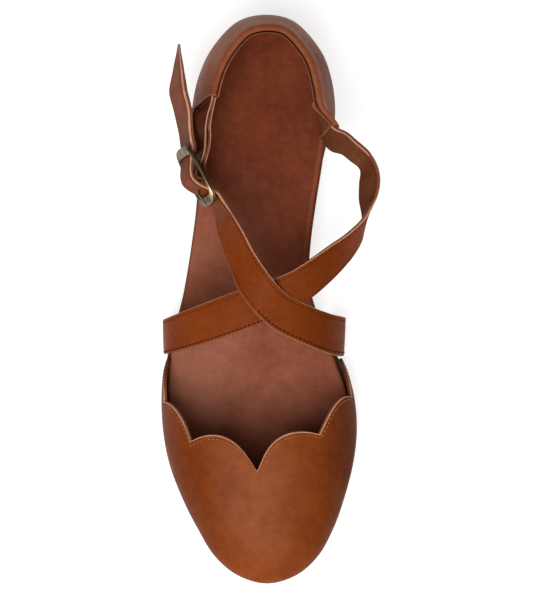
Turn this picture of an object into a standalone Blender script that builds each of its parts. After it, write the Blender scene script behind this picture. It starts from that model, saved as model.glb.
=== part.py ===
"""Leather sandal for a right foot: a closed scalloped toe, a low heel, straps that cross on the
instep, run through a tunnel in the heel counter and fasten with a buckle on the outer side.

The shape is worked out in millimetres in the shoe's own frame. 'side' is positive towards the
inner ankle, 'along' runs from the back of the heel to the toe, 'up' from the floor.
"""
import bmesh
import bpy
import numpy as np

MM = 0.001

# Sole and insole
SOLE_THICK = 4.8
HEEL_BREAST = 58.0
BREAST_RUN = 0.8
GAP = 0.3
INSOLE_THICK = 3.7
HEEL_TIP = (2.8, -2.7)
TOE_TIP = (3.3, 253.3)
SOLE_EDGE_ROUND = 0.9
INSOLE_EDGE_ROUND = 1.2
ROWS_ALONG = 38
ROWS_ACROSS = 6

# Edge of the insole in plan: along, side on the outer edge, side on the inner edge
OUTLINE = (
    (0.0, -8.6, 14.2),
    (4.0, -13.4, 18.8),
    (8.0, -16.9, 22.2),
    (14.0, -21.0, 26.2),
    (24.0, -25.2, 29.6),
    (40.0, -28.2, 31.4),
    (60.0, -28.9, 29.2),
    (80.0, -29.4, 26.1),
    (100.0, -31.9, 23.5),
    (112.0, -33.8, 22.9),
    (124.0, -36.0, 24.3),
    (140.0, -39.4, 29.6),
    (155.0, -42.0, 35.8),
    (170.0, -42.9, 40.9),
    (185.0, -42.2, 42.2),
    (200.0, -39.4, 40.6),
    (215.0, -33.8, 36.8),
    (230.0, -26.2, 31.4),
    (242.0, -18.6, 24.6),
    (249.0, -10.6, 17.0),
)

# Top of the outsole, with heel, arch and toe spring: along, up
BED = (
    (-10.0, 14.0),
    (25.0, 14.0),
    (55.0, 13.5),
    (85.0, 10.4),
    (115.0, 6.6),
    (140.0, 5.0),
    (160.0, 4.8),
    (190.0, 4.8),
    (215.0, 5.9),
    (240.0, 8.8),
    (265.0, 13.6),
)

# Ledge of the outsole outside the insole: along, width
LEDGE = (
    (-10.0, 2.5),
    (38.0, 2.5),
    (56.0, 0.4),
    (130.0, 0.4),
    (156.0, 1.9),
    (265.0, 1.9),
)

# Vamp
VAMP_THICK = 1.8
VAMP_TUCK = 0.7
BULGE_UP = 9.0
BASE_ANGLE = np.radians(-25.0)
POLE_ALONG = 226.0
TOE_CORNER = 234.0
HALF_GIRTH = 66.0
SQUARENESS = 0.85
VAMP_ROWS = 14
SCALLOP_STEPS = 8
BOW_SKEW = (0.22, 0.33)

# Ridge of the vamp: along, side, up
RIDGE = (
    (140.0, -2.4, 56.0),
    (175.0, -2.0, 48.0),
    (203.0, -1.2, 39.4),
    (226.0, 1.2, 34.4),
    (250.0, 3.0, 30.4),
    (265.0, 3.4, 28.0),
)

# Throat of the vamp, from ridge to sole, each outer then inner: climb, along, bow to the next row
SCALLOPS = (
    (1.00, 1.00, 203.4, 203.4, 0.33, 0.30),
    (0.64, 0.694, 190.0, 186.6, 0.20, 0.21),
    (0.35, 0.34, 172.1, 169.9, 0.20, 0.20),
    (0.00, 0.00, 152.0, 152.4, 0.00, 0.00),
)

# Heel counter
COUNTER_STEPS = 34
STRAP_WIDTH = 16.0
STRAP_THICK = 1.8
TUNNEL_DEPTH = 2.4
TUNNEL_DROP = 2.6
TUNNEL_KNOTS = 24
TUNNEL_SPARE = 0.5
SECTION_STEP = 2.4

# Wall of the counter: share of height, offset outside the insole's edge, lean inwards, thickness
COUNTER_WALL = (
    (0.00, 2.7, 0.0, 2.4),
    (0.14, 3.2, 0.0, 2.4),
    (0.26, 3.5, 0.1, 3.0),
    (0.36, 3.6, 0.4, 4.8),
    (0.58, 3.6, 1.9, 4.8),
    (0.80, 3.6, 4.2, 4.8),
    (0.96, 3.5, 6.1, 4.6),
    (1.00, 2.6, 6.2, 2.8),
)

# Front edges of the counter: share of height, along outer, along inner
COUNTER_FRONT = (
    (0.0, 38.0, 50.0),
    (0.5, 35.0, 47.5),
    (1.0, 31.0, 45.0),
)

# Collar of the counter, from the outer front round the heel: share of the way, up, share of lean
COLLAR = (
    (-0.2, 46.0, 1.30),
    (0.0, 48.5, 1.25),
    (0.25, 53.0, 1.15),
    (0.5, 57.0, 1.00),
    (0.75, 53.0, 0.98),
    (0.84, 51.2, 0.98),
    (0.92, 49.4, 0.84),
    (1.0, 47.5, -0.30),
    (1.2, 43.0, -3.00),
)

# Outer-side strap to the tunnel: along and side of the rear edge, of the front edge, mid height
STRAP_A = (
    (134.6, -28.0, 150.6, -31.0, 4.0),
    (134.4, -36.0, 150.4, -39.2, 4.0),
    (134.2, -41.4, 150.2, -43.0, 4.6),
    (134.2, -43.6, 150.2, -43.8, 9.6),
    (134.0, -44.0, 150.0, -43.3, 18.0),
    (133.0, -41.5, 149.4, -41.1, 27.5),
    (129.8, -33.6, 147.0, -32.6, 37.5),
    (125.4, -22.2, 143.4, -21.0, 44.6),
    (120.6, -9.4, 138.4, -7.0, 48.6),
    (116.6, 3.4, 131.6, 10.4, 49.0),
    (111.8, 14.6, 124.0, 23.6, 47.4),
    (106.6, 23.0, 117.4, 31.2, 45.6),
    (100.6, 31.6, 110.4, 38.0, 44.0),
    (95.2, 39.6, 103.4, 43.4, 42.8),
    (88.8, 46.6, 96.6, 46.6, 42.0),
    (83.0, 50.4, 88.0, 47.4, 41.6),
    (76.0, 53.6, 78.4, 45.8, 41.2),
    (70.0, 54.4, 71.8, 46.0, 41.0),
    (63.0, 52.6, 65.4, 46.4, 40.2),
    (57.4, 48.6, 60.6, 41.6, 39.6),
    (53.2, 44.2, 57.8, 37.8, 38.8),
    (49.4, 39.8, 56.0, 33.8, 38.2),
)

# Inner-side strap to the buckle: along and side of the rear edge, of the front edge, mid height
STRAP_B = (
    (138.2, 15.6, 153.6, 21.4, 4.0),
    (136.4, 24.0, 151.6, 30.0, 4.0),
    (134.8, 31.8, 150.6, 37.0, 4.7),
    (133.8, 36.6, 150.8, 38.0, 9.2),
    (133.2, 38.8, 151.0, 38.1, 18.0),
    (132.8, 38.0, 151.0, 36.8, 27.0),
    (131.4, 32.2, 149.8, 31.4, 37.6),
    (127.4, 21.6, 146.0, 22.0, 45.6),
    (121.6, 11.4, 136.8, 4.2, 50.2),
    (113.6, 4.4, 122.8, -8.2, 51.8),
    (103.4, -2.4, 107.9, -14.3, 47.6),
    (91.4, -8.8, 93.8, -19.0, 43.2),
)

# Buckle
BUCKLE_AT = (-29.2, 68.7, 38.6)
BUCKLE_HEADING = (-0.464, -0.885)
BUCKLE_LEAN = np.radians(20.0)
FRAME_HALF_LONG = 12.4
FRAME_HALF_WIDE = 10.1
FRAME_CORNER = 0.45
SIDE_ROD = 0.95
END_ROD = 2.3
BAR_ROD = 1.3
PRONG_ROD = 0.7
HOLE_WIDE = 2.8
SLOT_WIDE = 4.2
RING_SIDES = 8

# Strap through the buckle: way along the strap towards the tail, stand-off outwards
THREADED = (
    (-15.4, -4.1),
    (-11.2, -3.5),
    (-6.2, 1.4),
    (-2.6, 4.2),
    (0.0, 5.0),
    (2.6, 4.2),
    (6.2, 1.4),
    (11.2, -3.5),
    (15.4, -4.4),
    (20.0, -6.2),
)

# Strap folded round the middle bar, ending on the inner leg
FOLDED = (
    (13.4, -10.4),
    (8.0, -6.8),
    (4.4, -2.4),
    (2.6, 0.9),
    (0.6, 2.65),
    (-1.6, 2.2),
    (-2.7, 0.0),
    (-1.9, -1.9),
    (0.2, -3.0),
    (3.4, -5.9),
    (8.0, -9.4),
    (13.4, -12.8),
)

# Prong hooked round the middle bar
PRONG = (
    (0.4, 2.42),
    (1.75, 1.75),
    (2.45, 0.0),
    (1.75, -1.75),
    (0.0, -2.45),
    (-1.9, -1.75),
    (-3.0, -0.6),
    (-4.5, 0.7),
    (-6.3, 2.0),
    (-8.6, 2.8),
    (-11.0, 2.3),
    (-13.4, 1.7),
)

# Tail of the strap behind the buckle: along and side of the upper edge, of the lower edge, mid height
TAIL = (
    (38.4, -30.9, 38.4, -38.9, 36.8),
    (28.6, -32.7, 28.2, -40.7, 36.4),
    (8.0, -36.2, 8.0, -37.4, 35.6),
)

# Buckle strap between counter and bar, outer leg: along and side of the upper edge, lower edge, height
FIXED_LEG = (
    (40.0, -23.6, 40.4, -29.4, 38.4),
    (46.0, -24.6, 46.0, -29.6, 38.2),
)

# Buckle strap, inner leg
RETURN_LEG = (
    (46.0, -22.6, 46.0, -25.4, 38.4),
    (39.6, -21.2, 39.6, -24.0, 38.4),
    (35.6, -20.0, 36.0, -22.8, 38.6),
)


def smooth_curve(knots, most_step, fewest=2):
    """Points on a cubic through the knots, which all stay on it, no further apart than most_step."""
    knots = np.asarray(knots, float)
    spans = np.linalg.norm(np.diff(knots, axis=0), axis=1)
    run = np.concatenate([[0.0], np.cumsum(spans)])
    slopes = np.gradient(knots, run, axis=0, edge_order=2)
    points = [knots[:1]]
    for start, span in enumerate(spans):
        steps = max(fewest, int(np.ceil(span / most_step)))
        share = np.linspace(0.0, 1.0, steps + 1)[1:, None]
        rest = 1.0 - share
        points.append(
            knots[start] * rest**2 * (1 + 2 * share)
            + knots[start + 1] * share**2 * (1 + 2 * rest)
            + slopes[start] * span * rest**2 * share
            - slopes[start + 1] * span * share**2 * rest
        )
    return np.concatenate(points)


def profile(rows, at):
    """Value of a table's later columns where its first column is 'at', on a smooth curve."""
    curve = smooth_curve(rows, 1.0e9, 12)
    at = np.asarray(at, float)
    return [np.interp(at, curve[:, 0], column) for column in curve.T[1:]]


def bed_up(along):
    return profile(BED, along)[0]


def insole_loop():
    """Dense edge of the insole in plan (side, along): heel, outer side, toe, inner side, heel."""
    outer = [(row[1], row[0]) for row in OUTLINE]
    inner = [(row[2], row[0]) for row in reversed(OUTLINE)]
    knots = [HEEL_TIP] + outer + [TOE_TIP] + inner
    wrapped = np.array(knots[-3:] + knots + knots[:4])
    dense = smooth_curve(wrapped, 1.0e9, 12)
    return dense[36:-36]


def offset_loop(loop, distance):
    """The loop moved outwards in plan by a distance, one number or one for each point."""
    way = np.roll(loop[:-1], -1, axis=0) - np.roll(loop[:-1], 1, axis=0)
    way = np.concatenate([way, way[:1]])
    way /= np.linalg.norm(way, axis=1)[:, None]
    outward = np.stack([-way[:, 1], way[:, 0]], axis=1)
    return loop + outward * np.reshape(distance, (-1, 1))


def edge_sides(loop, along):
    """Side of the outer and of the inner edge of a loop at each station along the shoe."""
    toe = int(np.argmax(loop[:, 1]))
    heel = int(np.argmin(loop[:-1, 1]))
    turned = np.roll(loop[:-1], -heel, axis=0)
    toe = (toe - heel) % len(turned)
    outer = turned[: toe + 1]
    inner = np.concatenate([turned[toe:], turned[:1]])[::-1]
    return (
        np.interp(along, outer[:, 1], outer[:, 0]),
        np.interp(along, inner[:, 1], inner[:, 0]),
    )


def to_metres(points):
    """Shoe frame in millimetres to the scene's metres, with the toe towards -Y."""
    points = np.asarray(points, float)
    return points * np.array([MM, -MM, MM])


def new_object(name, points, faces, material, collection):
    mesh = bpy.data.meshes.new(name)
    mesh.from_pydata(to_metres(points).tolist(), [], faces)
    body = bmesh.new()
    body.from_mesh(mesh)
    bmesh.ops.recalc_face_normals(body, faces=body.faces)
    body.to_mesh(mesh)
    body.free()
    obj = bpy.data.objects.new(name, mesh)
    if material is not None:
        mesh.materials.append(material)
    collection.objects.link(obj)
    return obj


def loft(name, sections, material, collection, ring=False):
    """Solid through closed sections of the same number of points, capped unless it is a ring."""
    count, size = sections.shape[:2]
    faces = []
    for row in range(count if ring else count - 1):
        here = row * size
        there = (row + 1) % count * size
        for spot in range(size):
            after = (spot + 1) % size
            faces.append((here + spot, here + after, there + after, there + spot))
    if not ring:
        faces.append(tuple(range(size)))
        faces.append(tuple(range((count - 1) * size, count * size)))
    return new_object(name, sections.reshape(-1, 3), faces, material, collection)


def cut(obj, cutter, operation="DIFFERENCE"):
    modifier = obj.modifiers.new(operation.title(), "BOOLEAN")
    modifier.operation = operation
    modifier.solver = "EXACT"
    modifier.object = cutter


def round_edges(obj, width, angle=50.0):
    modifier = obj.modifiers.new("Edge", "BEVEL")
    modifier.width = width * MM
    modifier.segments = 1
    modifier.limit_method = "ANGLE"
    modifier.angle_limit = np.radians(angle)


def plate_sections(loop, along, low, high):
    """Sections across the shoe between two heights that are given at each station along it."""
    outer, inner = edge_sides(loop, along)
    share = np.linspace(0.0, 1.0, ROWS_ACROSS + 1)
    side = outer[:, None] + (inner - outer)[:, None] * share
    flat = np.ones_like(side)
    top = np.stack([side, flat * along[:, None], flat * high[:, None]], axis=2)
    under = np.stack([side, flat * along[:, None], flat * low[:, None]], axis=2)
    return np.concatenate([top, under[:, ::-1]], axis=1)


def stations(loop, extra=()):
    """Stations along a loop, closer together at toe and heel, with extra ones put in."""
    turn = np.linspace(0.0, np.pi, ROWS_ALONG + 1)[1:-1]
    low, high = loop[:, 1].min(), loop[:, 1].max()
    along = low + (high - low) * (1.0 - np.cos(turn)) / 2.0
    for spot in extra:
        along = along[np.abs(along - spot) > 0.35 * BREAST_RUN]
    ends = [low + 0.12, high - 0.12]
    return np.sort(np.concatenate([along, ends, extra]))


def make_outsole(loop, material, collection):
    """Unit sole: flat heel and forefoot on the floor, an arch between, and toe spring."""
    ledge = profile(LEDGE, loop[:, 1])[0]
    rim = offset_loop(loop, ledge)
    along = stations(rim, (HEEL_BREAST, HEEL_BREAST + BREAST_RUN))
    high = bed_up(along)
    under = np.where(along <= HEEL_BREAST, 0.0, np.maximum(high - SOLE_THICK, 0.0))
    sections = plate_sections(rim, along, under, high)
    obj = loft("outsole", sections, material, collection)
    round_edges(obj, SOLE_EDGE_ROUND)
    return obj


def make_insole(loop, material, collection):
    along = stations(loop)
    low = bed_up(along) + GAP
    sections = plate_sections(loop, along, low, low + INSOLE_THICK)
    obj = loft("insole", sections, material, collection)
    round_edges(obj, INSOLE_EDGE_ROUND)
    return obj


def scallop_edge(inner):
    """Throat from the ridge to the sole on one side: climb and along at each step."""
    points = []
    climb, along, bows = (1, 3, 5) if inner else (0, 2, 4)
    for start, end in zip(SCALLOPS[:-1], SCALLOPS[1:]):
        first = np.array([(1 - start[climb]) * HALF_GIRTH, start[along]])
        last = np.array([(1 - end[climb]) * HALF_GIRTH, end[along]])
        chord = last - first
        heelward = np.array([chord[1], -chord[0]])
        share = np.linspace(0.0, 1.0, SCALLOP_STEPS + 1)[1 if points else 0 :]
        past = 2.0 * share - 1.0
        bow = start[bows] * (1.0 - past**2) * (1.0 + BOW_SKEW[int(inner)] * past)
        points += list(first + chord * share[:, None] + heelward * bow[:, None])
    points = np.array(points)
    return 1.0 - points[:, 0] / HALF_GIRTH, points[:, 1]


def vamp_flat_grid(bulge):
    """Grid over the vamp laid flat inside its own outline, from the toe to the scalloped throat."""
    halves = []
    for inner in (False, True):
        climb, along = scallop_edge(inner)
        edge = edge_sides(bulge, along)[int(inner)]
        ridge = profile(RIDGE, along)[0]
        halves.append(np.stack([edge + (ridge - edge) * climb, along], axis=1))
    throat = np.concatenate([halves[0][::-1], halves[1][1:]])
    share = np.linspace(0.0, 1.0, VAMP_ROWS + 1)
    flanks = []
    for half, column in zip(halves, (0, 1)):
        along = TOE_CORNER + (half[-1, 1] - TOE_CORNER) * share
        flanks.append(np.stack([edge_sides(bulge, along)[column], along], axis=1))
    front = bulge[bulge[:, 1] > TOE_CORNER]
    front = np.concatenate([flanks[0][:1], front, flanks[1][:1]])
    run = np.concatenate([[0.0], np.cumsum(np.linalg.norm(np.diff(front, axis=0), axis=1))])
    even = np.linspace(0.0, run[-1], len(throat))
    toe = np.stack([np.interp(even, run, column) for column in front.T], axis=1)
    down = share[:, None, None]
    over = np.linspace(0.0, 1.0, len(throat))[None, :, None]
    corners = (
        (1 - down) * ((1 - over) * toe[0] + over * toe[-1])
        + down * ((1 - over) * throat[0] + over * throat[-1])
    )
    return (
        (1 - down) * toe[None] + down * throat[None]
        + (1 - over) * flanks[0][:, None] + over * flanks[1][:, None]
        - corners
    )


def vamp_surface(flat, bulge):
    """Outer face of the vamp above its flat grid: ribs rise from the sole's edge to the ridge."""
    shape = flat.shape[:2]
    side, along = flat[..., 0].ravel(), flat[..., 1].ravel()
    outer, inner = edge_sides(bulge, np.minimum(along, POLE_ALONG))
    ridge_along = np.minimum(along, POLE_ALONG)
    ridge_side = profile(RIDGE, ridge_along)[0]
    edge_side = np.where(side < ridge_side, outer, inner)
    span = np.abs(edge_side - ridge_side)
    reach = np.abs(side - ridge_side) / span
    pole_side = float(profile(RIDGE, POLE_ALONG)[0])
    ahead = along > POLE_ALONG
    front = bulge[bulge[:, 1] > POLE_ALONG - 8.0]
    bearing = np.arctan2(front[:, 0] - pole_side, front[:, 1] - POLE_ALONG)
    radius = np.hypot(front[:, 0] - pole_side, front[:, 1] - POLE_ALONG)
    angle = np.arctan2(side - pole_side, along - POLE_ALONG)
    fan = np.interp(angle, bearing, radius)
    reach = np.where(ahead, np.hypot(side - pole_side, along - POLE_ALONG) / fan, reach)
    reach = np.clip(reach, 0.0, 1.0)
    span = np.where(ahead, fan, span)
    climb = BASE_ANGLE + (np.pi / 2 - BASE_ANGLE) * (1.0 - reach)
    out = np.cos(np.maximum(climb, 0.0)) ** SQUARENESS
    below = np.minimum(climb, 0.0) / BASE_ANGLE
    out = out - VAMP_TUCK / span * below**2
    way_side = np.where(ahead, np.sin(angle), np.sign(side - ridge_side))
    way_along = np.where(ahead, np.cos(angle), 0.0)
    plan_side = np.where(ahead, pole_side, ridge_side) + way_side * span * out
    plan_along = np.where(ahead, POLE_ALONG, along) + way_along * span * out
    bed = bed_up(plan_along)
    top = profile(RIDGE, plan_along)[1]
    low = bed + BULGE_UP
    up = low + (top - low) * np.sin(np.maximum(climb, 0.0))
    up = up - (BULGE_UP - GAP) * below
    return np.stack([plan_side, plan_along, up], axis=1).reshape(*shape, 3)


def make_vamp(loop, material, collection):
    bulge = offset_loop(loop, GAP + VAMP_THICK + VAMP_TUCK)
    grid = vamp_surface(vamp_flat_grid(bulge), bulge)
    rows, columns = grid.shape[:2]
    faces = []
    for row in range(rows - 1):
        for spot in range(columns - 1):
            here = row * columns + spot
            faces.append((here, here + 1, here + columns + 1, here + columns))
    obj = new_object("vamp", grid.reshape(-1, 3), faces, material, collection)
    wall = obj.modifiers.new("Wall", "SOLIDIFY")
    wall.thickness = VAMP_THICK * MM
    wall.offset = -1.0
    wall.use_even_offset = True
    return obj


def heel_path(loop):
    """Edge of the insole round the heel, from the outer side at the waist to the inner side."""
    heel = int(np.argmin(loop[:-1, 1]))
    turned = np.roll(loop[:-1], len(loop) // 2 - heel, axis=0)
    near = turned[turned[:, 1] < HEEL_BREAST]
    return near[::-1]


def counter_point(loop, way, height, depth):
    """Point of the counter: way round the heel and share of height 0 to 1, depth in from outside."""
    path = heel_path(loop)
    run = np.concatenate([[0.0], np.cumsum(np.linalg.norm(np.diff(path, axis=0), axis=1))])
    heel = int(np.argmin(path[:, 1]))
    front_outer, front_inner = profile(COUNTER_FRONT, height)
    start = np.interp(-front_outer, -path[: heel + 1, 1], run[: heel + 1])
    end = np.interp(front_inner, path[heel:, 1], run[heel:])
    at = start + (end - start) * way
    spot = np.stack([np.interp(at, run, column) for column in path.T], axis=1)
    tangent = np.stack([np.interp(at, run, np.gradient(column, run)) for column in path.T], axis=1)
    tangent /= np.linalg.norm(tangent, axis=1)[:, None]
    outward = np.stack([tangent[:, 1], -tangent[:, 0]], axis=1)
    swell, lean = profile(COUNTER_WALL, height)[:2]
    collar, share = profile(COLLAR, way)
    offset = swell - lean * share - depth
    plan = spot + outward * offset[:, None]
    foot = bed_up(spot[:, 1]) + GAP
    up = foot + (collar - foot) * height
    return np.concatenate([plan, up[:, None]], axis=1)


def make_counter(loop, material, collection):
    height = np.array([row[0] for row in COUNTER_WALL])
    thick = np.array([row[3] for row in COUNTER_WALL])
    sections = []
    for way in np.linspace(0.0, 1.0, COUNTER_STEPS + 1):
        ways = np.full_like(height, way)
        outer = counter_point(loop, ways, height, np.zeros_like(height))
        inner = counter_point(loop, ways, height, thick)
        sections.append(np.concatenate([outer, inner[::-1]]))
    return loft("heel_counter", np.array(sections), material, collection)


def tunnel_knots(loop, way):
    """Strap edges inside the collar, from its inner mouth round to its outer mouth."""
    collar = profile(COLLAR, way)[0]
    foot = bed_up(np.full_like(way, 20.0)) + GAP
    upper = 1.0 - TUNNEL_DROP / (collar - foot)
    lower = upper - (STRAP_WIDTH - 0.3) / (collar - foot)
    depth = np.full_like(way, TUNNEL_DEPTH)
    rear = counter_point(loop, way, upper, depth)
    front = counter_point(loop, way, lower, depth)
    return np.concatenate([rear, front], axis=1)


def edge_knots(rows):
    """Both edges of a strap from a table in plan: what the width lacks in plan is climbed."""
    rows = np.array(rows, float)
    plan = np.hypot(rows[:, 0] - rows[:, 2], rows[:, 1] - rows[:, 3])
    rise = np.sqrt(np.maximum(STRAP_WIDTH**2 - plan**2, 0.0)) / 2.0
    rear = np.stack([rows[:, 1], rows[:, 0], rows[:, 4] + rise], axis=1)
    front = np.stack([rows[:, 3], rows[:, 2], rows[:, 4] - rise], axis=1)
    return np.concatenate([rear, front], axis=1)


def buckle_axes():
    """Directions of the buckle: along the strap, across it upwards, and out of its face."""
    along = np.array([BUCKLE_HEADING[0], BUCKLE_HEADING[1], 0.0])
    level = np.array([BUCKLE_HEADING[1], -BUCKLE_HEADING[0], 0.0])
    upright = np.array([0.0, 0.0, 1.0])
    across = np.cos(BUCKLE_LEAN) * upright - np.sin(BUCKLE_LEAN) * level
    out = np.cos(BUCKLE_LEAN) * level + np.sin(BUCKLE_LEAN) * upright
    return along, across, out


def at_buckle(way, across, out):
    """Points given in the buckle's own directions, in the shoe frame."""
    axes = buckle_axes()
    spots = np.stack(np.broadcast_arrays(way, across, out), axis=-1)
    return np.array(BUCKLE_AT) + spots @ np.array(axes)


def buckle_knots(rows):
    rows = np.array(rows, float)
    half = STRAP_WIDTH / 2.0
    rear = at_buckle(rows[:, 0], half, rows[:, 1])
    front = at_buckle(rows[:, 0], -half, rows[:, 1])
    return np.concatenate([rear, front], axis=1)


def ribbon(knots, step, thick, spare=0.0):
    """Sections of a strap between two edges, with a clearance all round for a cutter."""
    edges = smooth_curve(knots, step)
    rear, front = edges[:, :3], edges[:, 3:]
    across = rear - front
    across /= np.linalg.norm(across, axis=1)[:, None]
    along = np.gradient((rear + front) / 2.0, axis=0)
    face = np.cross(along, across)
    face /= np.linalg.norm(face, axis=1)[:, None]
    rear, front = rear + across * spare, front - across * spare
    face = face * (thick / 2.0 + spare)
    return np.stack([rear + face, rear - face, front - face, front + face], axis=1)


def pointed(knots):
    """Draws the last row of a strap's edges in to a small flat, along straight tapering edges."""
    knots = knots.copy()
    rear, front = knots[-1, :3].copy(), knots[-1, 3:].copy()
    middle = (rear + front) / 2.0
    knots[-1, :3] = middle + (rear - middle) * 0.12
    knots[-1, 3:] = middle + (front - middle) * 0.12
    share = np.array([[0.1], [0.55]])
    taper = knots[-2] + (knots[-1] - knots[-2]) * share
    return np.concatenate([knots[:-1], taper, knots[-1:]])


def make_straps(loop, material, parts, cutters):
    """Both straps as one solid, with the prong's hole and the slot in the fold."""
    ways = np.concatenate([np.linspace(1.0, 0.0, TUNNEL_KNOTS), [-0.015]])
    tunnel = tunnel_knots(loop, ways)
    path_a = np.concatenate([
        edge_knots(STRAP_A), tunnel, edge_knots(FIXED_LEG),
        buckle_knots(FOLDED), edge_knots(RETURN_LEG),
    ])
    tail = pointed(edge_knots(TAIL))
    path_b = np.concatenate([edge_knots(STRAP_B), buckle_knots(THREADED), tail])
    straps = loft("cross_straps", ribbon(path_a, SECTION_STEP, STRAP_THICK), material, parts)
    slot = [at_buckle(-6.0, 0.0, 1.2), at_buckle(4.6, 0.0, -0.6)]
    cut(straps, block_cutter("prong_slot", slot, SLOT_WIDE, 8.6, cutters))
    upper = loft("upper_strap", ribbon(path_b, 6.0, STRAP_THICK), None, cutters)
    hole = [at_buckle(-2.8, 0.0, -0.6), at_buckle(-9.4, 0.0, 3.8)]
    cut(upper, block_cutter("prong_hole", hole, HOLE_WIDE, 3.6, cutters))
    cut(straps, upper, "UNION")
    mouths = np.concatenate([edge_knots(STRAP_A[-4:]), tunnel, edge_knots(FIXED_LEG)])
    channel = ribbon(mouths, SECTION_STEP, STRAP_THICK, TUNNEL_SPARE)
    tunnel_cutter = loft("tunnel", channel, None, cutters)
    roots = []
    for name, rows in (("outer_root", STRAP_A), ("inner_root", STRAP_B)):
        knots = edge_knots(rows[:5])[:5]
        knots[0] -= 0.1 * (knots[1] - knots[0])
        sections = ribbon(knots, 3.0, STRAP_THICK, GAP + 0.05)
        roots.append(loft(name, sections, None, cutters))
    return straps, tunnel_cutter, roots


def block_cutter(name, ends, wide, high, collection):
    """Straight bar between two points near the buckle, square to the strap."""
    ends = np.array(ends)
    along, across, out = buckle_axes()
    way = ends[1] - ends[0]
    way /= np.linalg.norm(way)
    over = np.cross(way, across)
    corners = [(1, 1), (1, -1), (-1, -1), (-1, 1)]
    sections = [
        [end + across * wide / 2 * a + over * high / 2 * b for a, b in corners] for end in ends
    ]
    return loft(name, np.array(sections), None, collection)


def make_buckle(frame_metal, prong_metal, parts, cutters):
    """Frame with rounded corners and broader ends, a middle bar, and the hooked prong."""
    turn = np.linspace(0.0, 2.0 * np.pi, 37)[:-1]
    power = FRAME_CORNER
    way = FRAME_HALF_LONG * np.sign(np.cos(turn)) * np.abs(np.cos(turn)) ** power
    across = FRAME_HALF_WIDE * np.sign(np.sin(turn)) * np.abs(np.sin(turn)) ** power
    middle = np.stack([way, across], axis=1)
    tangent = np.roll(middle, -1, axis=0) - np.roll(middle, 1, axis=0)
    tangent /= np.linalg.norm(tangent, axis=1)[:, None]
    normal = np.stack([tangent[:, 1], -tangent[:, 0]], axis=1)
    broad = SIDE_ROD + (END_ROD - SIDE_ROD) * np.abs(normal[:, 0]) ** 2
    ring = np.linspace(0.0, 2.0 * np.pi, RING_SIDES + 1)[:-1]
    spread = broad[:, None] * np.cos(ring)
    points = at_buckle(
        middle[:, 0, None] + normal[:, 0, None] * spread,
        middle[:, 1, None] + normal[:, 1, None] * spread,
        SIDE_ROD * np.sin(ring)[None, :],
    )
    frame = loft("buckle_frame", points, frame_metal, parts, ring=True)
    ends = np.array([-FRAME_HALF_WIDE, FRAME_HALF_WIDE])
    bar = at_buckle(
        BAR_ROD * np.cos(ring)[None, :], ends[:, None], BAR_ROD * np.sin(ring)[None, :]
    )
    cut(frame, loft("middle_bar", bar, None, cutters), "UNION")
    path = smooth_curve(PRONG, 3.0)
    tangent = np.gradient(path, axis=0)
    tangent /= np.linalg.norm(tangent, axis=1)[:, None]
    prong = at_buckle(
        path[:, 0, None] - tangent[:, 1, None] * PRONG_ROD * np.cos(ring),
        PRONG_ROD * np.sin(ring)[None, :],
        path[:, 1, None] + tangent[:, 0, None] * PRONG_ROD * np.cos(ring),
    )
    return frame, loft("buckle_prong", prong, prong_metal, parts)


def new_material(name, colour, roughness, metallic):
    material = bpy.data.materials.new(name)
    material.use_nodes = True
    shader = material.node_tree.nodes["Principled BSDF"]
    shader.inputs["Base Color"].default_value = (*colour, 1.0)
    shader.inputs["Roughness"].default_value = roughness
    shader.inputs["Metallic"].default_value = metallic
    return material


def new_collection(name):
    collection = bpy.data.collections.new(name)
    bpy.context.scene.collection.children.link(collection)
    return collection


def stand_on_floor(objects):
    """Hangs the pieces on an empty that centres their common box over the origin, on the floor."""
    bpy.context.view_layer.update()
    graph = bpy.context.evaluated_depsgraph_get()
    corners = np.concatenate([np.array(obj.evaluated_get(graph).bound_box) for obj in objects])
    low, high = corners.min(axis=0), corners.max(axis=0)
    holder = bpy.data.objects.new("sandal_origin", None)
    objects[0].users_collection[0].objects.link(holder)
    holder.location = (-(low[0] + high[0]) / 2.0, -(low[1] + high[1]) / 2.0, -low[2])
    for obj in list(bpy.data.objects):
        if obj is not holder:
            obj.parent = holder


def main():
    for obj in list(bpy.data.objects):
        bpy.data.objects.remove(obj)
    parts = new_collection("leather_sandal")
    cutters = new_collection("cutters")
    upper = new_material("upper_leather", (0.27, 0.09, 0.03), 0.5, 0.0)
    lining = new_material("insole_leather", (0.16, 0.055, 0.03), 0.6, 0.0)
    strap = new_material("strap_leather", (0.27, 0.09, 0.03), 0.5, 0.0)
    counter = new_material("counter_leather", (0.27, 0.09, 0.03), 0.5, 0.0)
    rubber = new_material("sole_rubber", (0.05, 0.025, 0.015), 0.7, 0.0)
    brass = new_material("buckle_brass", (0.45, 0.36, 0.18), 0.35, 1.0)
    prong_brass = new_material("prong_brass", (0.45, 0.36, 0.18), 0.35, 1.0)
    loop = insole_loop()
    outsole = make_outsole(loop, rubber, parts)
    insole = make_insole(loop, lining, parts)
    vamp = make_vamp(loop, upper, parts)
    heel_counter = make_counter(loop, counter, parts)
    straps, tunnel, roots = make_straps(loop, strap, parts, cutters)
    cut(heel_counter, tunnel)
    for root in roots:
        cut(outsole, root)
    frame, prong = make_buckle(brass, prong_brass, parts, cutters)
    for obj in cutters.objects:
        obj.hide_render = True
        obj.display_type = "WIRE"
    stand_on_floor([outsole, insole, vamp, heel_counter, straps, frame, prong])


main()
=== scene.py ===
# %% [markdown]
# # A leather sandal, dressed over its solids
# The frame holds the plain solids of one right sandal: sole, insole, vamp, heel counter, crossed straps
# and a buckle. Each solid could simply be shaded, but a faceted solid has no cut edges, no seams and no
# rolled collar. So every piece is worked out again here as a fine numpy surface on the same tables of
# sizes, and it replaces its solid.

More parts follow.
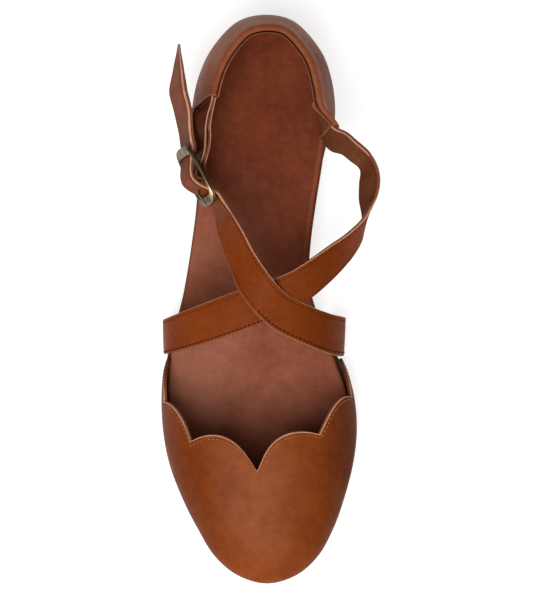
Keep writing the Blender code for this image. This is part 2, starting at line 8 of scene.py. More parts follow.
import bmesh
import bpy
import numpy as np
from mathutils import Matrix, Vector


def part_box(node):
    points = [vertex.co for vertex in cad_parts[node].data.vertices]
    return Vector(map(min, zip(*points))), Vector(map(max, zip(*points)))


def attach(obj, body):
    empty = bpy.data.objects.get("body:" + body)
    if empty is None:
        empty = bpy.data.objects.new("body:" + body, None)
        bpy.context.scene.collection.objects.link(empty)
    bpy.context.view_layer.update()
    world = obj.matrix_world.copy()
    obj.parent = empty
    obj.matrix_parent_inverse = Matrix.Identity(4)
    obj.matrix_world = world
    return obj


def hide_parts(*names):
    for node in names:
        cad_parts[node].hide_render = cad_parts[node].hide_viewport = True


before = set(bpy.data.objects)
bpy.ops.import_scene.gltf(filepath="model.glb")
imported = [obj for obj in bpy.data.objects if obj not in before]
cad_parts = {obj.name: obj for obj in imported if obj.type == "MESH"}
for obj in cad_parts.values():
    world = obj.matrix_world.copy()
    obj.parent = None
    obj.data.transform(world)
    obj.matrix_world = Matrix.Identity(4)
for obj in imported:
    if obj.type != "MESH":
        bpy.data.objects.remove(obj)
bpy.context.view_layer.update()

# %% [markdown]
# ## Curves from a few knots
# A shoemaker draws a pattern through a few measured points. The same is done here: a table holds the
# points, and a Hermite cubic runs through all of them. A spline object could do it too, but an array can
# be offset, cut and lofted without leaving numpy. Lengths are millimetres in the shoe's own frame:
# 'side' is positive towards the inner ankle, 'along' runs from heel to toe, 'up' is the height.

# %% Curve, profile and offset
MM = 0.001


def run_of(points):
    """Distance travelled along a row of points, starting at 0."""
    return np.concatenate([[0.0], np.cumsum(np.linalg.norm(np.diff(points, axis=0), axis=1))])


def read_off(at, run, table):
    """Every column of a table whose rows lie at distances 'run', read off at other distances."""
    return np.stack([np.interp(at, run, column) for column in np.transpose(table)], axis=-1)


def curve(knots, step, fewest=3):
    """Cubic through every knot. On each span it is the Hermite blend of both ends and their slopes, where
    a slope is the difference of the two neighbours over the way between them."""
    knots = np.asarray(knots, float)
    run = run_of(knots)
    spans = np.diff(run)
    slopes = np.gradient(knots, run, axis=0, edge_order=2)
    steps = np.maximum(fewest, np.ceil(spans / step)).astype(int)
    start = np.repeat(np.arange(len(spans)), steps)
    first = np.repeat(np.cumsum(steps) - steps, steps)
    share = ((np.arange(steps.sum()) - first) / np.repeat(steps, steps))[:, None]
    rest = 1.0 - share
    points = knots[start] * rest**2 * (1 + 2 * share) + knots[start + 1] * share**2 * (1 + 2 * rest)
    bend = slopes[start] * rest**2 * share - slopes[start + 1] * share**2 * rest
    return np.concatenate([points + bend * spans[start][:, None], knots[-1:]])


def profile(rows, at):
    """Later columns of a table where its first column is 'at', read off the curve through its rows."""
    dense = curve(rows, 1.0e9, 16)
    return [np.interp(at, dense[:, 0], column) for column in dense.T[1:]]


def offset_loop(loop, distance):
    """Closed loop in plan moved outwards: each point goes along the normal of its two neighbours' chord."""
    way = np.roll(loop[:-1], -1, axis=0) - np.roll(loop[:-1], 1, axis=0)
    way = np.concatenate([way, way[:1]])
    way /= np.linalg.norm(way, axis=1)[:, None]
    outward = np.stack([-way[:, 1], way[:, 0]], axis=1)
    return loop + outward * np.reshape(distance, (-1, 1))


def unit(vectors):
    """Vectors of length 1 in the same directions."""
    return vectors / np.maximum(np.linalg.norm(vectors, axis=-1, keepdims=True), 1.0e-9)


def bell(values, tall, half_width):
    """A soft hump: its height times the bell curve of the distance over the half width."""
    return tall * np.exp(-((values / half_width) ** 2))


# %% [markdown]
# ## The last: outline and bed
# Sole, insole, vamp and counter all follow the last, so its edge in plan and the height of its bed come
# first. The place of the shoe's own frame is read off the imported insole.

# %% Outline, bed and place in the frame
HEEL_TIP = (2.8, -2.7)
TOE_TIP = (3.3, 253.3)
# along, side on the outer edge, side on the inner edge
OUTLINE = (
    (0.0, -8.6, 14.2),
    (4.0, -13.4, 18.8),
    (8.0, -16.9, 22.2),
    (14.0, -21.0, 26.2),
    (24.0, -25.2, 29.6),
    (40.0, -28.2, 31.4),
    (60.0, -28.9, 29.2),
    (80.0, -29.4, 26.1),
    (100.0, -31.9, 23.5),
    (112.0, -33.8, 22.9),
    (124.0, -36.0, 24.3),
    (140.0, -39.4, 29.6),
    (155.0, -42.0, 35.8),
    (170.0, -42.9, 40.9),
    (185.0, -42.2, 42.2),
    (200.0, -39.4, 40.6),
    (215.0, -33.8, 36.8),
    (230.0, -26.2, 31.4),
    (242.0, -18.6, 24.6),
    (249.0, -10.6, 17.0),
)
# along, up of the outsole's top
BED = (
    (-10.0, 14.0),
    (25.0, 14.0),
    (55.0, 13.5),
    (85.0, 10.4),
    (115.0, 6.6),
    (140.0, 5.0),
    (160.0, 4.8),
    (190.0, 4.8),
    (215.0, 5.9),
    (240.0, 8.8),
    (265.0, 13.6),
)
GAP = 0.3
LOOP_STEPS = 24


def insole_loop():
    """Edge of the insole in plan, closed: heel tip, outer side, toe tip, inner side and back."""
    outer = [(row[1], row[0]) for row in OUTLINE]
    inner = [(row[2], row[0]) for row in reversed(OUTLINE)]
    knots = [HEEL_TIP] + outer + [TOE_TIP] + inner
    dense = curve(np.array(knots[-3:] + knots + knots[:4]), 1.0e9, LOOP_STEPS)
    return dense[3 * LOOP_STEPS : -3 * LOOP_STEPS]


def bed_up(along):
    return profile(BED, along)[0]


def edge_sides(loop, along):
    """Side of the outer and of the inner edge of a closed loop at each station along the shoe."""
    toe = int(np.argmax(loop[:, 1]))
    heel = int(np.argmin(loop[:-1, 1]))
    turned = np.roll(loop[:-1], -heel, axis=0)
    toe = (toe - heel) % len(turned)
    outer = turned[: toe + 1]
    inner = np.concatenate([turned[toe:], turned[:1]])[::-1]
    return np.interp(along, outer[:, 1], outer[:, 0]), np.interp(along, inner[:, 1], inner[:, 0])


LAST = insole_loop()
insole_corner = np.array(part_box("insole")[0]) / MM
SHOE_PLACE = np.array([insole_corner[0] - LAST[:, 0].min(), insole_corner[1] + LAST[:, 1].max(), 0.0])
print("shoe frame sits at", SHOE_PLACE.round(2), "mm, insole", np.ptp(LAST[:, 1]).round(1), "mm long")


# %% [markdown]
# ## From arrays to meshes
# Every piece ends as a grid of points or several grids. Quads join neighbours, doubled points at poles
# and seams are merged, and the normals are made to point outwards. A sheet of leather is two grids, its
# good side and its flesh side, with a narrow band of cut edge between their borders.

# %% Grid faces and pieces
MERGE_WITHIN = 1.0e-7
SHARP_FROM = np.radians(42.0)
ROUNDED_FROM = np.radians(50.0)


def to_world(points):
    """Shoe frame in millimetres to the row frame in metres, with the toe towards -Y."""
    return (np.asarray(points) * (1.0, -1.0, 1.0) + SHOE_PLACE) * MM


def quads(rows, columns, wrap_rows=False, wrap_columns=False):
    """Corner numbers of all quads between neighbours of a grid, which may close on itself."""
    row = np.arange(rows if wrap_rows else rows - 1)[:, None]
    spot = np.arange(columns if wrap_columns else columns - 1)[None, :]
    after, below = (spot + 1) % columns, (row + 1) % rows
    corners = (row * columns + spot, row * columns + after, below * columns + after, below * columns + spot)
    return np.stack(corners, axis=-1).reshape(-1, 4)


def full_turn(steps):
    """Angles of a full turn, without the one that falls on the first."""
    return np.linspace(0.0, 2.0 * np.pi, steps + 1)[:-1]


def ring_faces(rows, columns, capped=True):
    """Quads between neighbouring rings and, where capped, a flat face over the first and the last ring."""
    faces = quads(rows, columns, wrap_columns=True).tolist()
    caps = [list(range(columns)), list(range((rows - 1) * columns, rows * columns))]
    return faces + caps if capped else faces


def piece(name, points, faces, finishes, finish_of_face=None, tints=None):
    """Mesh object from points, faces and one finish number for each face. 'tints' are values on points."""
    mesh = bpy.data.meshes.new(name)
    mesh.from_pydata(to_world(points).tolist(), [], [list(face) for face in faces])
    for material in finishes:
        mesh.materials.append(material)
    if finish_of_face is not None:
        mesh.polygons.foreach_set("material_index", np.asarray(finish_of_face, np.int32))
    for tint, values in (tints or {}).items():
        layer = mesh.attributes.new(tint, "FLOAT", "POINT")
        layer.data.foreach_set("value", np.ravel(values).astype(np.float32))
    body = bmesh.new()
    body.from_mesh(mesh)
    bmesh.ops.remove_doubles(body, verts=body.verts, dist=MERGE_WITHIN)
    bmesh.ops.recalc_face_normals(body, faces=body.faces)
    body.to_mesh(mesh)
    body.free()
    mesh.shade_smooth()
    mesh.set_sharp_from_angle(angle=SHARP_FROM)
    obj = bpy.data.objects.new(name, mesh)
    bpy.context.scene.collection.objects.link(obj)
    print(name, len(mesh.vertices), "points,", len(mesh.polygons), "faces")
    return obj


def round_edges(obj, width):
    """Rounds the sharp edges of a sheet, in the finish of its cut edge."""
    rounding = obj.modifiers.new("Edge", "BEVEL")
    rounding.width = width * MM
    rounding.segments = 2
    rounding.limit_method = "ANGLE"
    rounding.angle_limit = ROUNDED_FROM
    rounding.material = 1


def dress(obj, slot, *nodes):
    """Lets a piece ride on the shoe and stand for solids, which it hides. 'slot' is not used."""
    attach(obj, "root")
    if nodes:
        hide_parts(*nodes)
    return obj


def sheet(name, outer, inner, finishes, tints=None, round_edge=0.25, rim_rows=0):
    """Closed sheet between two grids of the same shape. Finishes: good side, cut edge, flesh side. The last
    'rim_rows' rows of the good side are raw like the edge."""
    rows, columns = outer.shape[:2]
    size = rows * columns
    good = quads(rows, columns)
    flesh = good[:, ::-1] + size
    number = np.arange(size).reshape(rows, columns)
    border = np.concatenate([number[0], number[1:, -1], number[-1, -2::-1], number[-2:0:-1, 0]])
    ahead = np.roll(border, -1)
    edge = np.stack([border, ahead, ahead + size, border + size], axis=1)
    points = np.concatenate([outer.reshape(-1, 3), inner.reshape(-1, 3)])
    faces = np.concatenate([good, edge, flesh])
    finish = np.repeat([0, 1, 2], [len(good), len(edge), len(flesh)])
    finish[len(good) - rim_rows * (columns - 1) : len(good)] = 1
    doubled = {tint: np.tile(np.ravel(values), 2) for tint, values in (tints or {}).items()}
    doubled["depth"] = np.repeat([0.0, 1.0], size)
    obj = piece(name, points, faces.tolist(), finishes, finish, doubled)
    round_edges(obj, round_edge)
    return obj


def grid_normals(grid, outward):
    """Unit normals of a grid, the cross product of its two differences, turned to where 'outward' points."""
    across = unit(np.cross(np.gradient(grid, axis=0), np.gradient(grid, axis=1)))
    return across * np.sign(np.sum(across * outward, axis=-1).mean())


# %% [markdown]
# ## Leather, worked out as nodes
# Waxed leather shows three things at once: cloudy blotches where the dye took unevenly, fine pores, and
# a soft shine that turns grey at grazing angles. The clouds and the pores are needed by several leathers,
# so each is a node group with its own inputs. Pictures of leather would do as well, but they stretch.

# %% Node helpers
def new_group(name, inputs, outputs):
    """Empty shader group with named sockets. Inputs are (name, kind, default)."""
    tree = bpy.data.node_groups.new(name, "ShaderNodeTree")
    for label, kind, value in inputs:
        socket = tree.interface.new_socket(label, in_out="INPUT", socket_type=kind)
        socket.default_value = value
    for label, kind in outputs:
        tree.interface.new_socket(label, in_out="OUTPUT", socket_type=kind)
    return tree, tree.nodes.new("NodeGroupInput"), tree.nodes.new("NodeGroupOutput")


def add(tree, kind, **settings):
    """Node with properties set by name; keys that match input sockets set their values instead."""
    node = tree.nodes.new(kind)
    for key, value in settings.items():
        label = key.replace("_", " ").title()
        if hasattr(node, key):
            setattr(node, key, value)
        else:
            node.inputs[label].default_value = value
    return node


def noise(tree, vector, scale, detail=3.0, roughness=0.55):
    """Noise value between about 0.2 and 0.8 at a number of blotches per metre."""
    node = add(tree, "ShaderNodeTexNoise", detail=detail, roughness=roughness)
    tree.links.new(vector, node.inputs["Vector"])
    if isinstance(scale, (int, float)):
        node.inputs["Scale"].default_value = scale
    else:
        tree.links.new(scale, node.inputs["Scale"])
    return node.outputs["Fac"]


def remap(tree, value, low, high, to_low=0.0, to_high=1.0):
    """Value stretched from one range to another and kept inside it."""
    node = add(tree, "ShaderNodeMapRange")
    tree.links.new(value, node.inputs["Value"])
    for label, number in (("From Min", low), ("From Max", high), ("To Min", to_low), ("To Max", to_high)):
        node.inputs[label].default_value = number
    return node.outputs["Result"]


def maths(tree, operation, first, second):
    """Sum, product or other operation of two sockets or numbers."""
    node = add(tree, "ShaderNodeMath", operation=operation)
    for spot, value in enumerate((first, second)):
        if isinstance(value, (int, float)):
            node.inputs[spot].default_value = value
        else:
            tree.links.new(value, node.inputs[spot])
    return node.outputs["Value"]


def blend(tree, share, first, second, kind="MIX"):
    """Colour mixed from two sockets or colours by a share."""
    node = add(tree, "ShaderNodeMix", data_type="RGBA", blend_type=kind)
    for spot, value in ((0, share), (6, first), (7, second)):
        if isinstance(value, bpy.types.NodeSocket):
            tree.links.new(value, node.inputs[spot])
        else:
            node.inputs[spot].default_value = value if spot == 0 else (*value, 1.0)
    return node.outputs[2]


def object_place(tree):
    return add(tree, "ShaderNodeTexCoord").outputs["Object"]


def attribute(tree, name):
    return add(tree, "ShaderNodeAttribute", attribute_name=name).outputs["Fac"]


# %% Dye and grain groups
BROAD_SHARE = 0.58
FINE_TIMES = 6.0
PORE_SHARE = 0.35


def cloudy_dye():
    """Colour = dark to light by a broad cloud plus a fine cloud; 'Cloud' is the same as a value."""
    inputs = (
        ("Dark", "NodeSocketColor", (0.1, 0.03, 0.01, 1.0)),
        ("Light", "NodeSocketColor", (0.3, 0.1, 0.03, 1.0)),
        ("Blotches", "NodeSocketFloat", 45.0),
    )
    outputs = (("Color", "NodeSocketColor"), ("Cloud", "NodeSocketFloat"))
    tree, entry, leave = new_group("cloudy_dye", inputs, outputs)
    place = object_place(tree)
    broad = noise(tree, place, entry.outputs["Blotches"], 4.0, 0.6)
    fine = noise(tree, place, maths(tree, "MULTIPLY", entry.outputs["Blotches"], FINE_TIMES), 3.0, 0.6)
    broad = maths(tree, "MULTIPLY", broad, BROAD_SHARE)
    fine = maths(tree, "MULTIPLY", fine, 1.0 - BROAD_SHARE)
    cloud = remap(tree, maths(tree, "ADD", broad, fine), 0.36, 0.64)
    tree.links.new(blend(tree, cloud, entry.outputs["Dark"], entry.outputs["Light"]), leave.inputs["Color"])
    tree.links.new(cloud, leave.inputs["Cloud"])
    return tree


def hide_grain():
    """Height = pores, the distance to the nearest cell centre, plus soft wrinkles."""
    inputs = (("Pores", "NodeSocketFloat", 1300.0), ("Wrinkles", "NodeSocketFloat", 260.0))
    tree, entry, leave = new_group("hide_grain", inputs, (("Height", "NodeSocketFloat"),))
    place = object_place(tree)
    cells = add(tree, "ShaderNodeTexVoronoi", feature="SMOOTH_F1", smoothness=0.4)
    tree.links.new(place, cells.inputs["Vector"])
    tree.links.new(entry.outputs["Pores"], cells.inputs["Scale"])
    pores = remap(tree, cells.outputs["Distance"], 0.1, 0.7)
    wrinkle = noise(tree, place, entry.outputs["Wrinkles"], 4.0, 0.65)
    pores = maths(tree, "MULTIPLY", pores, PORE_SHARE)
    wrinkle = maths(tree, "MULTIPLY", wrinkle, 1.0 - PORE_SHARE)
    tree.links.new(maths(tree, "ADD", pores, wrinkle), leave.inputs["Height"])
    return tree


CLOUDS = cloudy_dye()
GRAIN = hide_grain()
print("groups:", CLOUDS.name, GRAIN.name)


# %% Leather
# what the dye is multiplied by where it is lighter, as wear and as a painted sheen, and where it is darker
# and without wax, mostly as painted shade
WEAR_AND_SHEEN_TINT = (1.36, 1.6, 2.2)
DARK_TINT = (0.52, 0.58, 0.85)
SHINE = 0.08


def use(tree, group, **values):
    """Places a node group in a material with its own values."""
    node = tree.nodes.new("ShaderNodeGroup")
    node.node_tree = group
    for label, value in values.items():
        node.inputs[label].default_value = value
    return node


def new_finish(name, **values):
    """Material with its Principled shader's sockets set by name."""
    material = bpy.data.materials.new(name)
    material.use_nodes = True
    shader = material.node_tree.nodes["Principled BSDF"]
    for label, value in values.items():
        shader.inputs[label.replace("_", " ")].default_value = value
    return material, material.node_tree, shader


def dyed(tree, dark, light, blotches):
    """Outputs of the cloudy dye between two colours: its colour and its cloud."""
    return use(tree, CLOUDS, Dark=(*dark, 1.0), Light=(*light, 1.0), Blotches=blotches).outputs


def grained(material, strength, deep, **sizes):
    """Gives a material the grain as a bump with a strength and a depth in millimetres."""
    tree = material.node_tree
    node = add(tree, "ShaderNodeBump", strength=strength, distance=deep * MM)
    tree.links.new(use(tree, GRAIN, **sizes).outputs["Height"], node.inputs["Height"])
    tree.links.new(node.outputs["Normal"], tree.nodes["Principled BSDF"].inputs["Normal"])
    return material


def leather(name, dark, light, blotches, gloss, grain=0.25, pores=1300.0):
    """Cloudy dyed leather with pores. Gloss is the wax: it sets the coat and lowers the roughness. Where the
    tone attribute is 1 the dye is lighter, as wear and as a painted sheen; where it is -1 it is darker,
    mostly as painted shade, and has no wax."""
    material, tree, shader = new_finish(name, Coat_Roughness=0.42)
    dye = dyed(tree, dark, light, blotches)
    # tone attribute: above 0 wear and a painted sheen, below 0 mostly painted shade
    wear_sheen_and_shade = attribute(tree, "wear_sheen_and_shade")
    worn = blend(tree, remap(tree, wear_sheen_and_shade, 0.0, 1.0), dye["Color"], WEAR_AND_SHEEN_TINT, "MULTIPLY")
    darkened = blend(tree, remap(tree, wear_sheen_and_shade, 0.0, -1.0), worn, DARK_TINT, "MULTIPLY")
    tree.links.new(darkened, shader.inputs["Base Color"])
    tree.links.new(remap(tree, wear_sheen_and_shade, -1.0, 0.0, 0.0, gloss), shader.inputs["Coat Weight"])
    tree.links.new(remap(tree, wear_sheen_and_shade, -1.0, 0.0, 0.0, SHINE), shader.inputs["Specular IOR Level"])
    rough = remap(tree, dye["Cloud"], 0.0, 1.0, 0.62 - 0.3 * gloss, 0.5 - 0.3 * gloss)
    tree.links.new(rough, shader.inputs["Roughness"])
    return grained(material, grain, 0.4, Pores=pores)


UPPER = leather("upper_leather", (0.175, 0.031, 0.0035), (0.25, 0.05, 0.006), 42.0, 0.09)
COUNTER = leather("counter_leather", (0.185, 0.043, 0.0115), (0.265, 0.070, 0.0215), 50.0, 0.08)
STRAP = leather("strap_leather", (0.185, 0.032, 0.003), (0.25, 0.047, 0.005), 55.0, 0.0)
LINING = leather("vamp_lining", (0.24, 0.060, 0.019), (0.34, 0.092, 0.032), 60.0, 0.0, 0.4, 1000.0)
FLESH = leather("flesh_side", (0.138, 0.038, 0.0132), (0.203, 0.059, 0.022), 60.0, 0.0, 0.6, 900.0)
print("leathers:", len(bpy.data.materials))

# %% [markdown]
# ## Footbed leather
# An insole is not one colour. The heel and the inner waist are a deep red, partly a darker dye and partly
# painted shade, and the forepart is paler. A painted sheen lies on the outer forepart, a painted shadow under
# the vamp, and along the rim a painted highlight band with a painted shade line outside it. All this follows
# the place on the shoe, so the finish mixes its colours by coordinates. Painted weights would do too, but
# they would hang on the points of the mesh.

# %% Footbed
# places in metres, from where an effect starts to where it is full. Y falls towards the toe, and X grows
# towards the inner side.
FOREPART = (0.065, 0.005)
INNER_HALF = (-0.018, 0.022)
WAIST = (-0.045, -0.005)
# OFF_STRAPS and OUTER_HALF place the painted sheen, away from the band behind the straps where their shadow
# lies
OFF_STRAPS = (0.006, 0.024)
OUTER_HALF = (0.0, -0.03)
# span of the painted shadow under the vamp
VAMP_SHADOW = (-0.035, -0.075)
# millimetres from the rim: middle of the painted highlight band, end of the painted shade line
LIT_RIM_BAND = 2.1
SHADED_RIM_LINE = 1.1


def footbed_dye_and_light(tree, place, pale):
    """Deep red for the heel and the inner waist, partly a darker dye and partly painted shade, the paler dye
    elsewhere, with a ragged border between them. At the outer side of the forepart, off the straps' shadows,
    lies a painted sheen."""
    deep = dyed(tree, (0.14, 0.026, 0.008), (0.21, 0.044, 0.0145), 46.0)
    fore = remap(tree, place["Y"], *FOREPART)
    inner = remap(tree, place["X"], *INNER_HALF, 0.0, 0.7)
    # inner waist: darker dye and painted shade
    inner_waist_dye_and_shade = maths(tree, "MULTIPLY", inner, remap(tree, place["Y"], *WAIST))
    ragged = remap(tree, noise(tree, object_place(tree), 70.0), 0.3, 0.7, -0.18, 0.18)
    share = maths(tree, "ADD", maths(tree, "SUBTRACT", fore, inner_waist_dye_and_shade), ragged)
    colour = blend(tree, remap(tree, share, 0.0, 1.0), deep["Color"], pale)
    # painted sheen on the outer forepart, in the colour given below
    off_straps = remap(tree, maths(tree, "ABSOLUTE", place["Y"], 0.0), *OFF_STRAPS)
    outer_side = remap(tree, place["X"], *OUTER_HALF, 0.0, 0.45)
    painted_sheen = maths(tree, "MULTIPLY", maths(tree, "MULTIPLY", outer_side, off_straps), fore)
    return blend(tree, painted_sheen, colour, (0.42, 0.165, 0.10))


def mottled(tree, colour):
    """Colour times a fine mottle, times faint streaks across the shoe."""
    mottle = remap(tree, noise(tree, object_place(tree), 170.0, 5.0, 0.7), 0.3, 0.7, 0.87, 1.12)
    crosswise = add(tree, "ShaderNodeMapping")
    crosswise.inputs["Scale"].default_value = (0.07, 1.0, 1.0)
    tree.links.new(object_place(tree), crosswise.inputs["Vector"])
    streaks = remap(tree, noise(tree, crosswise.outputs["Vector"], 900.0, 2.0), 0.35, 0.65, 0.97, 1.03)
    tone = maths(tree, "MULTIPLY", mottle, streaks)
    shade = add(tree, "ShaderNodeCombineColor")
    for channel in shade.inputs:
        tree.links.new(tone, channel)
    return blend(tree, 1.0, colour, shade.outputs["Color"], "MULTIPLY")


def footbed():
    """Insole leather: the mottled dyes, with a painted shadow under the vamp. By its distance from the rim it
    gets a painted highlight band on the rounded edge, and a painted shade line outside it."""
    material = leather("footbed_leather", (0.25, 0.070, 0.034), (0.335, 0.105, 0.056), 38.0, 0.0, 0.3, 1100.0)
    tree = material.node_tree
    base = tree.nodes["Principled BSDF"].inputs["Base Color"]
    place = add(tree, "ShaderNodeSeparateXYZ")
    tree.links.new(object_place(tree), place.inputs["Vector"])
    colour = mottled(tree, footbed_dye_and_light(tree, place.outputs, base.links[0].from_socket))
    # painted shadow that the vamp casts on the insole inside the throat
    vamp_shadow = remap(tree, place.outputs["Y"], *VAMP_SHADOW, 0.0, 0.62)
    colour = blend(tree, vamp_shadow, colour, (0.07, 0.014, 0.005))
    from_rim = attribute(tree, "from_rim")
    # painted highlight on the rounded rim, then a painted shade line at its very edge
    off_lit_band = maths(tree, "ABSOLUTE", maths(tree, "SUBTRACT", from_rim, LIT_RIM_BAND), 0.0)
    colour = blend(tree, remap(tree, off_lit_band, 0.3, 1.2, 0.4, 0.0), colour, (0.34, 0.10, 0.048))
    inside_shaded_line = remap(tree, from_rim, 0.0, SHADED_RIM_LINE, 0.35, 1.0)
    tree.links.new(blend(tree, inside_shaded_line, (0.05, 0.014, 0.007), colour), base)
    return material


FOOTBED = footbed()
print("footbed nodes:", len(FOOTBED.node_tree.nodes))


# %% Cut edge, thread, brass and sole
def cut_edge():
    """Raw edge of two glued layers: pale fibre near the good side, a dark glue line halfway, a browner layer
    behind. The attribute 'depth' goes from good side to back, 'pale' fades the edge to dyed brown."""
    material, tree, shader = new_finish("cut_edge", Roughness=0.75, Specular_IOR_Level=0.08)
    fresh = dyed(tree, (0.54, 0.25, 0.15), (0.78, 0.43, 0.29), 320.0)
    depth = attribute(tree, "depth")
    back = remap(tree, depth, 0.38, 0.55, 0.0, 0.88)
    layers = blend(tree, back, fresh["Color"], (0.22, 0.055, 0.019))
    off_middle = maths(tree, "ABSOLUTE", maths(tree, "SUBTRACT", depth, 0.5), 0.0)
    layers = blend(tree, remap(tree, off_middle, 0.03, 0.1), (0.12, 0.03, 0.011), layers)
    colour = blend(tree, attribute(tree, "pale"), (0.12, 0.033, 0.011), layers)
    tree.links.new(colour, shader.inputs["Base Color"])
    return grained(material, 0.35, 0.2, Pores=2600.0, Wrinkles=900.0)


def dyed_finish(name, dark, light, blotches, shine):
    """Matt material in a cloudy dye."""
    material, tree, shader = new_finish(name, Roughness=0.7, Specular_IOR_Level=shine)
    tree.links.new(dyed(tree, dark, light, blotches)["Color"], shader.inputs["Base Color"])
    return material


def brass_finish(name):
    """Antique brass: dark tarnish in clouds over warm metal, and rougher where it is tarnished. Where the
    attribute 'polish' is 1 the metal is worn bright."""
    material, tree, shader = new_finish(name, Metallic=1.0)
    tarnish = dyed(tree, (0.045, 0.028, 0.014), (0.20, 0.128, 0.06), 180.0)
    polish = attribute(tree, "polish")
    bright = blend(tree, polish, tarnish["Color"], (0.80, 0.60, 0.32))
    tree.links.new(bright, shader.inputs["Base Color"])
    rough = remap(tree, tarnish["Cloud"], 0.0, 1.0, 0.5, 0.3)
    rough = maths(tree, "SUBTRACT", rough, maths(tree, "MULTIPLY", polish, 0.12))
    tree.links.new(rough, shader.inputs["Roughness"])
    return grained(material, 0.12, 0.2, Pores=2200.0, Wrinkles=500.0)


CUT = cut_edge()
DARK_THREAD = dyed_finish("dark_thread", (0.030, 0.005, 0.001), (0.060, 0.011, 0.003), 600.0, 0.05)
WORN_THREAD = dyed_finish("worn_thread", (0.075, 0.014, 0.003), (0.13, 0.026, 0.006), 600.0, 0.05)
TAN_THREAD = dyed_finish("tan_thread", (0.27, 0.09, 0.022), (0.45, 0.18, 0.05), 600.0, 0.05)
BRASS = brass_finish("antique_brass")
RUBBER = dyed_finish("sole_rubber", (0.035, 0.017, 0.010), (0.07, 0.032, 0.018), 90.0, 0.35)
grained(RUBBER, 0.3, 0.3, Pores=1800.0, Wrinkles=400.0)
print("finishes:", len(bpy.data.materials))

# %% [markdown]
# ## Sole and insole
# Both are plates: cross sections of the shoe, each a rounded rectangle between the outer and the inner
# edge, stacked from heel to toe. Near the two tips the rounding has to run along the shoe instead of
# across it, so every point is moved in from the rim along the rim's own normal. A bevelled solid would
# do, but this keeps the rows even, and the insole can be crowned and dished in the same formula.

# %% Plates
SOLE_THICK = 4.8
HEEL_BREAST = 58.0
BREAST_RUN = 0.8
INSOLE_THICK = 3.7
# radius of the upper and of the lower rim
SOLE_ROUNDINGS = (0.9, 0.7)
INSOLE_ROUNDINGS = (1.7, 0.6)
INSOLE_CROWN = 0.3
# dishes under the heel and the ball of the foot: along, half length, half width as a share, depth
DISHES = ((34.0, 24.0, 0.6, 0.7), (178.0, 26.0, 0.7, 0.35))
# stretch where the rim's painted highlight band and painted shade line fade out towards the forepart, and
# what is added to their distance
RIM_FADE = (138.0, 150.0)
RIM_FADED = 3.2
# along, width of the ledge of the outsole outside the insole
LEDGE = (
    (-10.0, 2.5),
    (38.0, 2.5),
    (56.0, 0.4),
    (130.0, 0.4),
    (156.0, 1.9),
    (265.0, 1.9),
)
PLATE_ROWS = 150
PLATE_FACE = 28
PLATE_WALL = 6
ARC_STEPS = 7


def plate_rims(loop, along):
    """Both edges of a closed loop at each station, with their outward normals in plan."""
    toe = int(np.argmax(loop[:, 1]))
    tangent = np.gradient(loop, axis=0)
    outward = unit(np.stack([-tangent[:, 1], tangent[:, 0]], axis=1))
    turns = (np.arange(toe + 1), np.arange(toe, len(loop))[::-1])
    rims = []
    for side, turn in zip(edge_sides(loop, along), turns):
        normal = unit(read_off(along, loop[turn, 1], outward[turn]))
        rims.append((np.stack([side, along], axis=1), normal))
    return rims


def plate(loop, high, low, rounding, lower_rounding, extra=(), relief=None):
    """Rings across the shoe. A ring goes over the top between the two rims moved in by the rounding, round
    a quarter circle, down the wall, round a smaller quarter circle and back underneath."""
    near, far = loop[:, 1].min(), loop[:, 1].max()
    along = near + (far - near) * (1.0 - np.cos(np.linspace(0.0, np.pi, PLATE_ROWS))) / 2.0
    along = np.sort(np.concatenate([along, extra]))
    quarter = np.linspace(0.0, np.pi / 2, ARC_STEPS)
    opening, closing = 1 - np.sin(quarter), 1 - np.cos(quarter)
    straight, arc = np.zeros(PLATE_WALL), np.zeros(ARC_STEPS)
    inset = np.concatenate([rounding * opening, straight, lower_rounding * closing])
    drop = np.concatenate([rounding * closing, straight + rounding, arc + rounding])
    lift = np.concatenate([arc, straight, lower_rounding * opening])
    wall = np.concatenate([arc, np.linspace(0, 1, PLATE_WALL + 2)[1:-1], arc + 1])
    sides = []
    for rim, normal in plate_rims(loop, along):
        plan = rim[:, None] - normal[:, None] * inset[None, :, None]
        top, bottom = high(plan[..., 1]) - drop, low(plan[..., 1]) + lower_rounding - lift
        sides.append(np.concatenate([plan, (top * (1 - wall) + bottom * wall)[..., None]], axis=2))
    share = np.linspace(0.0, 1.0, PLATE_FACE + 2)[1:-1, None]
    over = sides[1][:, None, 0] * (1 - share) + sides[0][:, None, 0] * share
    over[..., 2] = high(over[..., 1])
    under = sides[0][:, None, -1] * (1 - share) + sides[1][:, None, -1] * share
    under[..., 2] = low(under[..., 1])
    if relief is not None:
        over[..., 2] += relief(over[..., 1], 2.0 * share[None, :, 0] - 1.0)
    return np.concatenate([sides[0], under, sides[1][:, ::-1], over], axis=1)


def plate_piece(name, grid, finish, tints=None):
    """Piece from the rings of a plate, which close by themselves at both tips."""
    return piece(name, grid.reshape(-1, 3), ring_faces(*grid.shape[:2], False), [finish], None, tints)


def sole_under(along):
    """Flat heel up to its breast, then the bed less the sole's thickness, never under the floor."""
    return np.where(along <= HEEL_BREAST, 0.0, np.maximum(bed_up(along) - SOLE_THICK, 0.0))


def insole_relief(along, across):
    """Crown across the shoe, less a shallow dish at each place where the foot presses."""
    relief = INSOLE_CROWN * (1.0 - across**2)
    for middle, half_long, half_wide, deep in DISHES:
        relief = relief - bell(along - middle, deep, half_long) * bell(across, 1.0, half_wide)
    return relief


sole_rim = offset_loop(LAST, profile(LEDGE, LAST[:, 1])[0])
breast = (HEEL_BREAST, HEEL_BREAST + BREAST_RUN)
sole_grid = plate(sole_rim, bed_up, sole_under, *SOLE_ROUNDINGS, breast)
sole = plate_piece("sole_unit", sole_grid, RUBBER)
dress(sole, "sole_rubber", "outsole")


